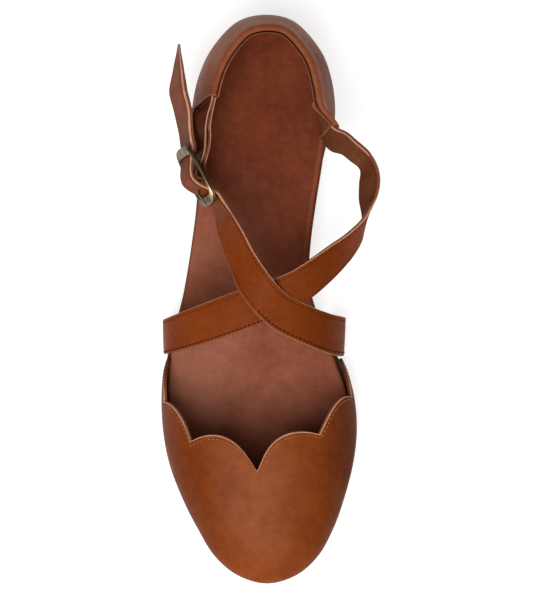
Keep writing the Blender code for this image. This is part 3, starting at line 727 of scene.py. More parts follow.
def insole_under(along):
    return bed_up(along) + GAP


def insole_top(along):
    return insole_under(along) + INSOLE_THICK


insole_grid = plate(LAST, insole_top, insole_under, *INSOLE_ROUNDINGS, (), insole_relief)
rim_outer, rim_inner = edge_sides(LAST, insole_grid[..., 1])
from_rim = np.minimum(insole_grid[..., 0] - rim_outer, rim_inner - insole_grid[..., 0])
from_rim = from_rim + np.interp(insole_grid[..., 1], RIM_FADE, (0.0, RIM_FADED))
insole = plate_piece("insole_cover", insole_grid, FOOTBED, {"from_rim": from_rim})
dress(insole, "insole_leather", "insole")

# %% [markdown]
# ## Vamp
# The closed toe is one skin, pulled over the last and cut in scallops at the throat. Its grid is first
# laid flat inside the outline, between toe and throat, so that rows run along the cut edge. Then ribs
# carry it up: an ellipse from the sole's edge to the ridge, and a fan of them round the toe.

# %% Vamp surface
VAMP_THICK = 1.8
VAMP_TUCK = 0.7
BULGE_UP = 9.0
BASE_ANGLE = np.radians(-25.0)
POLE_ALONG = 226.0
FAN_OVERLAP = 8.0
TOE_CORNER = 234.0
HALF_GIRTH = 66.0
SQUARENESS = 0.85
SCALLOP_STEPS = 26
# along, side, up of the ridge
RIDGE = (
    (140.0, -2.4, 56.0),
    (175.0, -2.0, 48.0),
    (203.0, -1.2, 39.4),
    (226.0, 1.2, 34.4),
    (250.0, 3.0, 30.4),
    (265.0, 3.4, 28.0),
)
# from ridge to sole, each outer then inner: climb, along, bow to the next row
SCALLOPS = (
    (1.00, 1.00, 203.4, 203.4, 0.33, 0.30),
    (0.64, 0.694, 190.0, 186.6, 0.20, 0.21),
    (0.35, 0.34, 172.1, 169.9, 0.20, 0.20),
    (0.00, 0.00, 152.0, 152.4, 0.00, 0.00),
)
BOW_SKEW = (0.22, 0.33)
SEAM_IN = 1.9
# along, shift of the outer wing's end, of the inner wing's end
WING_SHIFT = (
    (150.0, 1.5, 0.8),
    (158.0, 0.6, 0.8),
    (165.0, 0.1, 0.3),
    (172.0, 0.0, 0.0),
)


def scallop_edge(inner):
    """Throat from ridge to sole on one side: chords between notches, each bowed by a skewed parabola."""
    climb, along, bows = (1, 3, 5) if inner else (0, 2, 4)
    table = np.array(SCALLOPS)
    knots = np.stack([(1.0 - table[:, climb]) * HALF_GIRTH, table[:, along]], axis=1)
    share = np.linspace(0.0, 1.0, SCALLOP_STEPS + 1)[:-1][None, :, None]
    chord = np.diff(knots, axis=0)[:, None]
    heelward = chord[..., ::-1] * (1.0, -1.0)
    past = 2.0 * share - 1.0
    bow = table[:-1, bows][:, None, None] * (1.0 - past**2) * (1.0 + BOW_SKEW[int(inner)] * past)
    points = (knots[:-1, None] + chord * share + heelward * bow).reshape(-1, 2)
    points = np.concatenate([points, knots[-1:]])
    return 1.0 - points[:, 0] / HALF_GIRTH, points[:, 1]


def vamp_flat_grid(bulge, share):
    """Coons patch: toe and throat blended down the rows, both flanks across them, less the corners."""
    halves = []
    for inner in (False, True):
        climb, along = scallop_edge(inner)
        edge = edge_sides(bulge, along)[int(inner)]
        ridge = profile(RIDGE, along)[0]
        halves.append(np.stack([edge + (ridge - edge) * climb, along], axis=1))
    throat = np.concatenate([halves[0][::-1], halves[1][1:]])
    flanks = []
    for half, column in zip(halves, (0, 1)):
        along = TOE_CORNER + (half[-1, 1] - TOE_CORNER) * share
        flanks.append(np.stack([edge_sides(bulge, along)[column], along], axis=1))
    front = np.concatenate([flanks[0][:1], bulge[bulge[:, 1] > TOE_CORNER], flanks[1][:1]])
    run = run_of(front)
    even = np.linspace(0.0, run[-1], len(throat))
    toe = read_off(even, run, front)
    down = share[:, None, None]
    over = np.linspace(0.0, 1.0, len(throat))[None, :, None]
    ends = (1 - down) * ((1 - over) * toe[0] + over * toe[-1])
    ends = ends + down * ((1 - over) * throat[0] + over * throat[-1])
    sides = (1 - over) * flanks[0][:, None] + over * flanks[1][:, None]
    return (1 - down) * toe[None] + down * throat[None] + sides - ends


def vamp_surface(flat, bulge):
    """Flat grid carried up: reach from the ridge sets the angle of climb, whose cosine is the width and
    whose sine the height; below the widest line the skin tucks in towards the sole."""
    side, along = flat[..., 0], flat[..., 1]
    back = np.minimum(along, POLE_ALONG)
    outer, inner = edge_sides(bulge, back)
    ridge_side = profile(RIDGE, back)[0]
    span = np.abs(np.where(side < ridge_side, outer, inner) - ridge_side)
    reach = np.abs(side - ridge_side) / span
    pole_side = float(profile(RIDGE, POLE_ALONG)[0])
    ahead = along > POLE_ALONG
    front = bulge[bulge[:, 1] > POLE_ALONG - FAN_OVERLAP]
    bearing = np.arctan2(front[:, 0] - pole_side, front[:, 1] - POLE_ALONG)
    angle = np.arctan2(side - pole_side, along - POLE_ALONG)
    fan = np.interp(angle, bearing, np.hypot(front[:, 0] - pole_side, front[:, 1] - POLE_ALONG))
    reach = np.where(ahead, np.hypot(side - pole_side, along - POLE_ALONG) / fan, reach)
    span = np.where(ahead, fan, span)
    climb = BASE_ANGLE + (np.pi / 2 - BASE_ANGLE) * (1.0 - np.clip(reach, 0.0, 1.0))
    below = np.minimum(climb, 0.0) / BASE_ANGLE
    out = np.cos(np.maximum(climb, 0.0)) ** SQUARENESS - VAMP_TUCK / span * below**2
    way_side = np.where(ahead, np.sin(angle), np.sign(side - ridge_side))
    way_along = np.where(ahead, np.cos(angle), 0.0)
    plan_side = np.where(ahead, pole_side, ridge_side) + way_side * span * out
    plan_along = np.where(ahead, POLE_ALONG, along) + way_along * span * out
    shifts = np.array(WING_SHIFT)
    shift = read_off(plan_along, shifts[:, 0], shifts[:, 1:])
    shift = np.where(side < ridge_side, shift[..., 0], shift[..., 1])
    plan_side = plan_side + shift * np.clip(reach, 0.0, 1.0)
    low = bed_up(plan_along) + BULGE_UP
    top = profile(RIDGE, plan_along)[1]
    up = low + (top - low) * np.sin(np.maximum(climb, 0.0)) - (BULGE_UP - GAP) * below
    return np.stack([plan_side, plan_along, up], axis=-1)


# %% Vamp piece
VAMP_ROWS = 46
THROAT_ROWS = 24
THROAT_FROM = 0.9
# depth and half width of the groove in which the seam lies
VAMP_GROOVE = (0.16, 0.45)
# along and paleness there of the cut edge
WING_PALE = ((160.0, 172.0), (0.25, 1.0))
FLANK = 40.0
# along where the toe's wear and painted sheen start, and how long they take to be full
TOE_WEAR_AND_SHEEN = (212.0, 36.0)


def vamp_wear_sheen_and_shade(face):
    """Lighter along the ridge, most at the toe, partly as wear and partly as a painted sheen; painted shade
    on the flanks, more on the inner one than on the outer one. 'off' is 1 at a flank's width from the ridge."""
    ridge_side = profile(RIDGE, np.minimum(face[..., 1], POLE_ALONG))[0]
    off = (face[..., 0] - ridge_side) / FLANK
    near_toe = np.clip((face[..., 1] - TOE_WEAR_AND_SHEEN[0]) / TOE_WEAR_AND_SHEEN[1], 0.0, 1.0)
    # lighter ridge: partly wear, partly a painted sheen
    wear_and_light = bell(off, 1.25, 0.34) * (0.58 + 0.36 * near_toe)
    # painted shade on both flanks, more on the inner one
    wear_and_light -= 0.7 * np.clip((off - 0.62) / 0.38, 0.0, 1.0)
    wear_and_light -= 0.35 * np.clip((-off - 0.4) / 0.5, 0.0, 1.0)
    return np.clip(wear_and_light, -1.0, 1.0)


toe_rows = np.linspace(0.0, THROAT_FROM, VAMP_ROWS)
rows_of_vamp = np.concatenate([toe_rows, np.linspace(THROAT_FROM, 1.0, THROAT_ROWS)[1:]])
vamp_bulge = offset_loop(LAST, GAP + VAMP_THICK + VAMP_TUCK)
vamp_face = vamp_surface(vamp_flat_grid(vamp_bulge, rows_of_vamp), vamp_bulge)
vamp_normal = grid_normals(vamp_face, np.array([0.0, 0.0, 1.0]))
steps_back = np.linalg.norm(np.diff(vamp_face[::-1], axis=0), axis=2)
from_throat = np.concatenate([np.zeros((1, vamp_face.shape[1])), np.cumsum(steps_back, axis=0)])[::-1]
seam_groove = bell(from_throat - SEAM_IN, *VAMP_GROOVE)
vamp_outer = vamp_face - vamp_normal * seam_groove[..., None]
vamp_inner = vamp_face - vamp_normal * VAMP_THICK
edge_pale = np.interp(vamp_face[-1, :, 1], *WING_PALE)
vamp_tints = {"pale": np.broadcast_to(edge_pale, vamp_face.shape[:2]), "wear_sheen_and_shade": vamp_wear_sheen_and_shade(vamp_face)}
vamp = sheet("vamp_skin", vamp_outer, vamp_inner, [UPPER, CUT, LINING], vamp_tints, 0.25, 1)
dress(vamp, "upper_leather", "vamp")

# %% [markdown]
# ## Heel counter
# The counter is a skin that stands round the heel, folds over at the collar and hides a tunnel for the
# ankle strap. A lining stands inside it, and its raw top edge shows as a thin pale line. Skin and lining
# are two sheets on the same wall: a way round the heel, a share of the height, and a depth inwards.

# %% Counter walls
# share of height, offset outside the insole's edge, lean inwards, whole thickness
COUNTER_WALL = (
    (0.00, 2.7, 0.0, 2.4),
    (0.14, 3.2, 0.0, 2.4),
    (0.26, 3.5, 0.1, 3.0),
    (0.36, 3.6, 0.4, 4.8),
    (0.58, 3.6, 1.9, 4.8),
    (0.80, 3.6, 4.2, 4.8),
    (0.96, 3.5, 6.1, 4.4),
    (1.00, 3.4, 6.5, 4.1),
)
# share of height, along of the outer front edge, of the inner front edge
COUNTER_FRONT = (
    (0.0, 39.4, 51.6),
    (0.5, 36.6, 51.0),
    (0.8, 33.0, 47.8),
    (1.0, 30.8, 45.0),
)
# way round the heel, up of the collar, share of the lean
COLLAR = (
    (-0.2, 46.0, 1.30),
    (0.0, 48.5, 1.25),
    (0.25, 53.0, 1.15),
    (0.5, 57.0, 1.00),
    (0.75, 53.0, 0.98),
    (0.84, 51.2, 0.98),
    (0.92, 49.4, 0.84),
    (1.0, 47.5, -0.30),
    (1.2, 43.0, -3.00),
)
SKIN_THICK = 1.15
COLLAR_BAND = 3.3
FOLD_DOWN = 2.1
HEEL_SEAT = 20.0
# the wall is tucked in by this much at the inner mouth, from this way on, round this height
MOUTH_TUCK = 2.8
MOUTH_FROM = 0.86
MOUTH_HEIGHT = 0.5
MOUTH_HALF_TALL = 0.24


def heel_path():
    """Edge of the insole round the heel, from the outer side at the waist to the inner side."""
    heel = int(np.argmin(LAST[:-1, 1]))
    turned = np.roll(LAST[:-1], len(LAST) // 2 - heel, axis=0)
    return turned[turned[:, 1] < HEEL_BREAST][::-1]


HEEL_PATH = heel_path()


def counter_point(way, height, depth):
    """The insole's edge at a way round the heel, moved out by swell less lean less depth, and up by a share
    of the collar's height. At the inner mouth the wall is tucked in halfway up."""
    way, height, depth = np.broadcast_arrays(way, height, depth)
    run = run_of(HEEL_PATH)
    heel = int(np.argmin(HEEL_PATH[:, 1]))
    front_outer, front_inner = profile(COUNTER_FRONT, height)
    start = np.interp(-front_outer, -HEEL_PATH[: heel + 1, 1], run[: heel + 1])
    end = np.interp(front_inner, HEEL_PATH[heel:, 1], run[heel:])
    at = start + (end - start) * way
    spot = read_off(at, run, HEEL_PATH)
    tangent = unit(read_off(at, run, np.gradient(HEEL_PATH, run, axis=0)))
    outward = np.stack([tangent[..., 1], -tangent[..., 0]], axis=-1)
    swell, lean = profile(COUNTER_WALL, height)[:2]
    collar, share = profile(COLLAR, way)
    at_mouth = np.clip((way - MOUTH_FROM) / (1.0 - MOUTH_FROM), 0.0, 1.0) ** 2
    tuck = at_mouth * bell(height - MOUTH_HEIGHT, MOUTH_TUCK, MOUTH_HALF_TALL)
    plan = spot + outward * (swell - lean * share - tuck - depth)[..., None]
    foot = bed_up(spot[..., 1]) + GAP
    return np.concatenate([plan, (foot + (collar - foot) * height)[..., None]], axis=-1)


# %% Counter pieces
COUNTER_WAYS = 170
WALL_STEPS = 30
ROLL_STEPS = 16
FOLD_STEPS = 3
LINING_DROP = 0.9
LINING_THICK = 1.15
LINING_THINNED = 0.65
# way round the heel and step inwards of the lining beside the inner mouth
MOUTH_STEP = ((0.905, 0.915, 1.0), (0.0, 1.6, 0.0))
# way round the heel and value there: painted sheen on the outer wall turning to painted shade on the inner
# wall, paleness of the lining's edge
WALL_SHEEN_AND_SHADE = ((0.2, 0.7), (0.6, -0.3))
LINING_PALE = ((0.05, 0.3), (0.7, 0.25))
COLLAR_WEAR_AND_SHEEN = 0.35
SKIN_PALE = 0.3
ways = np.linspace(0.0, 1.0, COUNTER_WAYS)[:, None]
collar_height = profile(COLLAR, ways)[0] - bed_up(HEEL_SEAT) - GAP


def folded_skin(inset):
    """Section of the skin: up the wall at a depth 'inset', over a half circle at the collar and down the
    fold."""
    radius = COLLAR_BAND / 2.0
    turn = np.linspace(0.0, np.pi, ROLL_STEPS)[None, :]
    roll_depth = radius - (radius - inset) * np.cos(turn)
    roll_height = 1.0 - (radius - (radius - inset) * np.sin(turn)) / collar_height
    wall_height = np.linspace(0.0, 1.0, WALL_STEPS)[None, :-1] * roll_height[:, :1]
    fold_height = roll_height[:, -1:] - np.linspace(0.0, FOLD_DOWN, FOLD_STEPS + 1)[None, 1:] / collar_height
    height = np.concatenate([wall_height, roll_height, fold_height], axis=1)
    ends = (np.full((1, WALL_STEPS - 1), inset), roll_depth, np.full((1, FOLD_STEPS), COLLAR_BAND - inset))
    return counter_point(ways, height, np.concatenate(ends, axis=1))


skin_outer = folded_skin(0.0)
on_collar = (np.arange(skin_outer.shape[1]) >= WALL_STEPS - 3)[None, :]
# collar lighter, partly as wear and partly as a painted sheen; the walls carry painted sheen and painted
# shade
skin_wear_sheen_shade = np.where(on_collar, COLLAR_WEAR_AND_SHEEN, np.interp(ways, *WALL_SHEEN_AND_SHADE))
skin_tints = {"pale": np.full(skin_outer.shape[:2], SKIN_PALE), "wear_sheen_and_shade": skin_wear_sheen_shade}
skin = sheet("counter_skin", skin_outer, folded_skin(SKIN_THICK), [COUNTER, CUT, FLESH], skin_tints)
dress(skin, "counter_leather", "heel_counter")
lining_height = np.linspace(0.0, 1.0, WALL_STEPS)[None, :] * (1.0 - LINING_DROP / collar_height)
step_in = np.interp(ways, *MOUTH_STEP) * np.clip((lining_height - 0.6) / 0.2, 0.0, 1.0)
lining_thick = profile(COUNTER_WALL, lining_height)[2] + step_in
skived = LINING_THICK - LINING_THINNED * np.clip((lining_height - 0.9) / 0.08, 0.0, 1.0) + step_in
lining_back = counter_point(ways, lining_height, np.maximum(SKIN_THICK + 0.05, lining_thick - skived))
lining_face = counter_point(ways, lining_height, lining_thick)
lining_pale = np.broadcast_to(np.interp(ways, *LINING_PALE), lining_face.shape[:2])
lining = sheet("counter_lining", lining_face, lining_back, [FLESH, CUT, FLESH], {"pale": lining_pale}, 0.1)
dress(lining, "counter_leather", "heel_counter")

# %% [markdown]
# ## Crossed straps
# Each strap is two layers of leather glued back to back, with raw edges and a seam along both. The path
# is a table of both edges in plan, because that is what a photo from above shows; what the strap's width
# lacks in plan, it climbs. A section with rounded edges, a crown and two seam grooves is carried along.

# %% Strap paths
STRAP_WIDTH = 16.0
STRAP_THICK = 1.8
TUNNEL_DEPTH = 2.4
TUNNEL_DROP = 2.6
TUNNEL_KNOTS = 24
TUNNEL_PLAY = 0.3
# way at which the strap leaves the outer mouth
MOUTH_PAST = -0.015
THREADED_SUNK = 1.05
TIP_FLAT = 0.12
# places of two further knots on the taper, as shares of its length
TAPER_KNOTS = ((0.1,), (0.55,))
# outer-side strap: along and side of the rear edge, of the front edge, mid height
STRAP_A = (
    (134.6, -28.0, 150.6, -31.0, 4.0),
    (134.4, -36.0, 150.4, -39.2, 4.0),
    (134.2, -41.4, 150.2, -43.0, 4.6),
    (134.2, -43.6, 150.2, -43.8, 9.6),
    (134.0, -44.0, 150.0, -43.3, 18.0),
    (133.0, -41.5, 149.4, -41.1, 27.5),
    (129.8, -33.6, 147.0, -32.6, 37.5),
    (125.4, -22.2, 143.4, -21.0, 44.6),
    (120.6, -9.4, 138.4, -7.0, 48.6),
    (116.6, 3.4, 131.6, 10.4, 49.0),
    (111.8, 14.6, 124.0, 23.6, 47.4),
    (106.6, 23.0, 117.4, 31.2, 45.6),
    (100.6, 31.6, 110.4, 38.0, 44.0),
    (95.2, 39.6, 103.4, 43.4, 42.8),
    (88.8, 46.6, 96.6, 46.6, 42.0),
    (83.0, 50.4, 88.0, 47.4, 41.6),
    (76.0, 53.6, 78.4, 45.8, 41.2),
    (70.0, 54.4, 71.8, 46.0, 41.0),
    (63.0, 52.6, 65.4, 46.4, 40.2),
    (57.4, 48.6, 60.6, 41.6, 39.6),
    (53.2, 44.0, 57.8, 37.8, 38.8),
    (49.2, 39.4, 56.2, 32.8, 38.2),
)
# inner-side strap, same columns
STRAP_B = (
    (138.2, 15.6, 153.6, 21.4, 4.0),
    (136.4, 24.0, 151.6, 30.0, 4.0),
    (134.8, 31.8, 150.6, 37.0, 4.7),
    (133.8, 36.6, 150.8, 38.0, 9.2),
    (133.2, 38.8, 151.0, 38.1, 18.0),
    (132.8, 38.0, 151.0, 36.8, 27.0),
    (131.4, 32.2, 149.8, 31.4, 37.6),
    (127.4, 21.6, 146.0, 22.0, 45.6),
    (121.6, 11.4, 136.8, 4.2, 50.2),
    (113.6, 4.4, 122.8, -8.2, 51.8),
    (103.4, -2.4, 107.9, -14.3, 47.6),
    (91.4, -8.8, 93.8, -19.0, 43.2),
)
# tail behind the buckle: along and side of the upper edge, of the lower edge, mid height
TAIL = (
    (38.4, -31.7, 38.4, -38.6, 36.8),
    (28.6, -34.0, 28.2, -40.7, 36.4),
    (8.0, -36.4, 8.0, -37.6, 35.6),
)
# buckle strap between counter and bar, outer leg and inner leg, same columns
FIXED_LEG = (
    (40.0, -23.1, 40.4, -32.2, 38.4),
    (46.0, -24.2, 46.0, -32.4, 38.2),
)
RETURN_LEG = (
    (46.0, -22.8, 46.0, -25.6, 38.4),
    (39.6, -21.7, 39.6, -24.2, 38.4),
    (33.0, -20.2, 33.4, -22.6, 38.6),
)
BUCKLE_AT = (-29.2, 68.7, 38.6)
BUCKLE_HEADING = (-0.464, -0.885)
BUCKLE_LEAN = np.radians(20.0)
# strap through the buckle: way towards the tail, stand-off outwards
THREADED = (
    (-15.4, -4.1),
    (-11.2, -3.5),
    (-6.2, 0.7),
    (-2.6, 3.1),
    (0.0, 3.8),
    (2.6, 3.2),
    (6.2, 1.1),
    (8.9, -0.7),
    (11.6, -3.2),
    (15.4, -4.4),
    (20.0, -6.2),
)
# strap folded round the middle bar, same columns
FOLDED = (
    (13.4, -10.3),
    (8.0, -6.7),
    (4.2, -2.6),
    (2.5, -0.5),
    (1.9, 1.0),
    (0.5, 2.1),
    (-1.4, 1.7),
    (-2.15, 0.0),
    (-1.6, -1.6),
    (0.2, -2.5),
    (2.4, -3.4),
    (5.0, -5.6),
    (8.0, -8.6),
    (13.4, -12.5),
)


def edge_knots(rows):
    """Both edges of a strap from a table in plan: half of what the width lacks there is climbed each way."""
    rows = np.array(rows, float)
    plan = np.hypot(rows[:, 0] - rows[:, 2], rows[:, 1] - rows[:, 3])
    rise = np.sqrt(np.maximum(STRAP_WIDTH**2 - plan**2, 0.0)) / 2.0
    rear = np.stack([rows[:, 1], rows[:, 0], rows[:, 4] + rise], axis=1)
    front = np.stack([rows[:, 3], rows[:, 2], rows[:, 4] - rise], axis=1)
    return np.concatenate([rear, front], axis=1)


def buckle_axes():
    """Directions of the buckle: along the strap to the tail, across it upwards, and out of its face."""
    along = np.array([BUCKLE_HEADING[0], BUCKLE_HEADING[1], 0.0])
    level = np.array([BUCKLE_HEADING[1], -BUCKLE_HEADING[0], 0.0])
    upright = np.array([0.0, 0.0, 1.0])
    across = np.cos(BUCKLE_LEAN) * upright - np.sin(BUCKLE_LEAN) * level
    out = np.cos(BUCKLE_LEAN) * level + np.sin(BUCKLE_LEAN) * upright
    return np.array([along, across, out])


def at_buckle(way, across, out):
    """Points given in the buckle's own directions, in the shoe frame."""
    return np.array(BUCKLE_AT) + np.stack(np.broadcast_arrays(way, across, out), axis=-1) @ buckle_axes()


def buckle_knots(rows, sunk=0.0):
    """Both edges of a strap from a table of ways and stand-offs at the buckle; 'sunk' lets it rest lower."""
    rows = np.array(rows, float)
    halves = (STRAP_WIDTH / 2.0 - sunk, -STRAP_WIDTH / 2.0 - sunk)
    edges = [at_buckle(rows[:, 0], half, rows[:, 1]) for half in halves]
    return np.concatenate(edges, axis=1)


def tunnel_knots():
    """Strap edges inside the collar, from its inner mouth round to its outer mouth."""
    way = np.concatenate([np.linspace(1.0, 0.0, TUNNEL_KNOTS), [MOUTH_PAST]])
    tall = profile(COLLAR, way)[0] - bed_up(HEEL_SEAT) - GAP
    upper = 1.0 - TUNNEL_DROP / tall
    lower = upper - (STRAP_WIDTH - TUNNEL_PLAY) / tall
    edges = [counter_point(way, height, TUNNEL_DEPTH) for height in (upper, lower)]
    return np.concatenate(edges, axis=1)


def pointed(knots):
    """Last row of edges drawn in to a small flat, along straight tapering edges."""
    knots = knots.copy()
    middle = np.tile((knots[-1, :3] + knots[-1, 3:]) / 2.0, 2)
    knots[-1] = middle + (knots[-1] - middle) * TIP_FLAT
    taper = knots[-2] + (knots[-1] - knots[-2]) * np.array(TAPER_KNOTS)
    return np.concatenate([knots[:-1], taper, knots[-1:]])


path_a = np.concatenate(
    [edge_knots(STRAP_A), tunnel_knots(), edge_knots(FIXED_LEG), buckle_knots(FOLDED), edge_knots(RETURN_LEG)]
)
path_b = np.concatenate(
    [edge_knots(STRAP_B), buckle_knots(THREADED, THREADED_SUNK), pointed(edge_knots(TAIL))]
)
print("strap knots:", len(path_a), "and", len(path_b))

# %% Strap section
STRAP_STEP = 1.0
EDGE_ROUND = 0.5
REAR_SEAM = 1.8
FRONT_SEAM_A = 0.95
FRONT_SEAM_B = 1.7
PALE_RIM = 0.35
FACE_STEPS = 48
EDGE_STEPS = 6
FALL_RUN = 6.0
FAR = 99.0
ROOT_TOP = 20.0
CREASE_FADE = 0.8
CROWN = 0.12
# depth and half width of a seam's groove, and of the glue line in the raw edge as a share of its height
SEAM_GROOVE = (0.14, 0.35)
GLUE_GROOVE = (0.1, 0.3)


def strap_section(front_seam):
    """Section as share across (-1 to 1), stand-off in mm and finish: face with crown, seam grooves and
    rounded edges, then the raw edge with a glue line, then the back."""
    half = STRAP_WIDTH / 2.0
    across = np.sin(np.linspace(-np.pi / 2, np.pi / 2, FACE_STEPS)) * half
    inside = half - np.abs(across)
    rounded = EDGE_ROUND * (1.0 - np.sqrt(1.0 - (1.0 - np.minimum(inside / EDGE_ROUND, 1.0)) ** 2))
    groove = bell(inside - np.where(across > 0.0, REAR_SEAM, front_seam), *SEAM_GROOVE)
    crown = CROWN * (1.0 - (across / half) ** 2)
    face = STRAP_THICK / 2.0 - rounded - groove + crown - CROWN / 2.0
    down = np.linspace(1.0, -1.0, EDGE_STEPS + 2)[1:-1]
    wall = (STRAP_THICK / 2.0 - EDGE_ROUND) * down
    outset = half - bell(down, *GLUE_GROOVE)
    place = np.concatenate([across, outset, across[::-1], -outset])
    stand = np.concatenate([face, wall, -face[::-1], wall[::-1]])
    on_face = np.where((inside[1:] + inside[:-1]) / 2.0 < PALE_RIM, 1, 0)
    raw = np.ones(EDGE_STEPS + 1, int)
    kind = np.concatenate([on_face, raw, 2 - on_face[::-1], raw])
    return place / half, stand, kind


def strap_frame(path, step):
    """Middle line, half width across and face normal of a strap, from the curve through both its edges."""
    edges = curve(path, step, 4)
    rear, front = edges[:, :3], edges[:, 3:]
    middle, half = (rear + front) / 2.0, (rear - front) / 2.0
    normal = unit(np.cross(np.gradient(middle, axis=0), half))
    return middle, half, normal


def distance_to(points, centre):
    return np.linalg.norm(points - np.array(centre), axis=1)


def falloff(points, centre, reach):
    """1 near a centre, falling to 0 at the reach over the last of the way."""
    return np.clip((reach - distance_to(points, centre)) / FALL_RUN, 0.0, 1.0)


def creased(middle, across, creases):
    """Soft troughs across a strap: at each place a bell along the strap, slanted across its width."""
    run = run_of(middle)[:, None]
    sink = np.zeros((len(middle), len(across)))
    for side, along, wide, deep, slant in creases:
        at = np.argmin(np.hypot(middle[:, 0] - side, middle[:, 1] - along) + (middle[:, 2] < ROOT_TOP) * FAR)
        sink += bell(run - run[at] - slant * across[None, :], deep, wide)
    return sink * (1.0 - CREASE_FADE * across[None, :] ** 2)


# %% Strap pieces
LOOP_MOUTH = (38.0, 50.0, 42.0)
LOOP_REACH = 17.0
TAIL_MIDDLE = (-36.5, 24.0, 36.5)
TAIL_REACH = 34.0
TAIL_TIP = (-37.0, 8.0, 35.6)
LEG_MIDDLE = (-23.0, 45.0, 38.0)
# distance from the buckle within which the flesh dye lies outside, as part of the painted shadow on the legs
FLESH_OUT = 36.0
# centre, reach and share of extra thickness
BULKS_A = ((LOOP_MOUTH, LOOP_REACH, 0.35), (LEG_MIDDLE, 22.0, -0.22), (BUCKLE_AT, 8.0, -0.3))
BULKS_B = ((TAIL_MIDDLE, 38.0, 0.45), (TAIL_TIP, 10.0, -0.4), (TAIL_TIP, 18.0, -0.4))
# side, along, half width, depth and slant of a crease
CREASES_A = (
    (40.0, 53.0, 1.3, 0.35, 2.5),
    (43.5, 57.0, 1.6, -0.3, 3.0),
    (46.5, 61.5, 1.4, 0.4, 2.0),
    (49.0, 70.0, 2.4, -0.25, -1.5),
    (49.5, 78.0, 2.0, 0.3, -2.0),
)
CREASES_B = ((-12.0, 96.0, 3.0, 0.2, 1.5), (-20.0, 84.0, 2.5, 0.2, -1.0))
# distances from the buckle and values there: paleness of the folded strap's edges, painted shadow on its
# legs, darker tone of the other strap
FOLD_PALE = ((4.0, 8.0), (0.05, 1.0))
FOLD_SHADOW = ((6.0, 12.0, 30.0, 40.0), (-0.3, -1.0, -1.0, 0.0))
BUCKLE_TONE = ((12.0, 40.0), (-0.3, 0.0))
# sides and values there: painted shade on the inner arms of both straps, fading out again at the loop at the
# inner ankle
INNER_ARM_SHADE = ((5.0, 30.0, 38.0, 46.0), (0.0, -0.4, -0.4, 0.0))
TAIL_TONE = 0.2


def strap_tone_and_shade(middle, fold):
    """How light or dark a strap is along its way: painted shade on its inner arms towards the loop, darker
    near the buckle and on the tail, and a painted shadow, darkest, on the legs of the strap that is folded
    round the bar."""
    tone = np.interp(middle[:, 0], *INNER_ARM_SHADE) + np.interp(distance_to(middle, BUCKLE_AT), *BUCKLE_TONE)
    tone = tone - TAIL_TONE * falloff(middle, TAIL_MIDDLE, TAIL_REACH)
    return np.where(fold < FOLD_SHADOW[0][-1], np.interp(fold, *FOLD_SHADOW), tone)


def strap_kinds(middle, kind, fold):
    """Finish number of each face along a strap. Near the buckle the folded strap's sides change places, so
    that the duller flesh dye lies outside as part of the painted shadow on its legs. Round the tail, the
    sides numbered 0 take the counter's dye, numbered 3."""
    kinds = np.where(fold[:-1, None] < FLESH_OUT, 2 - kind[None, :], kind[None, :])
    tail = falloff(middle, TAIL_MIDDLE, TAIL_REACH)
    return np.where((tail[:-1, None] > 0.5) & (kinds == 0), 3, kinds)


def strap(name, path, good_side, front_seam, edge_pales, bulks, creases, folds=False):
    """The section carried along the path and capped at both ends. The good side is 1 where the stand-off is
    positive, else -1. The front and the rear edge have their own paleness, which is lost at the fold round
    the bar; at the loop's mouth the paler layer of the edge changes sides. Bulks make the strap thicker or
    thinner near a centre."""
    middle, half, normal = strap_frame(path, STRAP_STEP)
    place, stand, kind = strap_section(front_seam)
    bulk = 1.0 + sum(amount * falloff(middle, centre, reach) for centre, reach, amount in bulks)
    offset = bulk[:, None] * stand[None, :] - creased(middle, place, creases)
    grid = middle[:, None] + half[:, None] * place[None, :, None] + normal[:, None] * offset[..., None]
    rows, columns = grid.shape[:2]
    fold = distance_to(middle, BUCKLE_AT) if folds else np.full(rows, FAR)
    finish = np.concatenate([strap_kinds(middle, kind, fold).reshape(-1), [1, 1]])
    turned = np.where(falloff(middle, LOOP_MOUTH, LOOP_REACH) > 0.5, -1.0, 1.0)[:, None]
    front_pale, rear_pale = edge_pales
    tints = {
        "depth": 0.5 - good_side * turned * stand[None, :] / STRAP_THICK,
        "pale": np.interp(fold, *FOLD_PALE)[:, None] * np.where(place > 0.0, rear_pale, front_pale),
        "wear_sheen_and_shade": np.broadcast_to(strap_tone_and_shade(middle, fold)[:, None], (rows, columns)),
    }
    finishes = [STRAP, CUT, FLESH][::good_side] + [COUNTER]
    obj = piece(name, grid.reshape(-1, 3), ring_faces(rows, columns), finishes, finish, tints)
    return dress(obj, "strap_leather", "cross_straps")


strap("strap_outer_side", path_a, -1, FRONT_SEAM_A, (0.15, 0.8), BULKS_A, CREASES_A, True)
strap("strap_inner_side", path_b, 1, FRONT_SEAM_B, (0.45, 1.0), BULKS_B, CREASES_B)

# %% [markdown]
# ## Seams
# Lockstitch shows as a row of short dark dashes that dive into the leather at both ends. Hundreds of
# them are one mesh: a small spindle with six sides is worked out once, and numpy repeats it along every
# seam line, laid on the surface and turned to follow it.

# %% Stitches
STITCH_PITCH = 2.06
STITCH_LONG = 1.5
STITCH_WIDE = 0.27
STITCH_SIDES = 6
# place along a stitch, thickness, lift above the leather, as shares of its length and width
STITCH_RINGS = (
    (-0.5, 0.4, -0.6),
    (-0.36, 0.9, 0.25),
    (0.0, 1.0, 0.5),
    (0.36, 0.9, 0.25),
    (0.5, 0.4, -0.6),
)
WORN_SUNK = 0.17


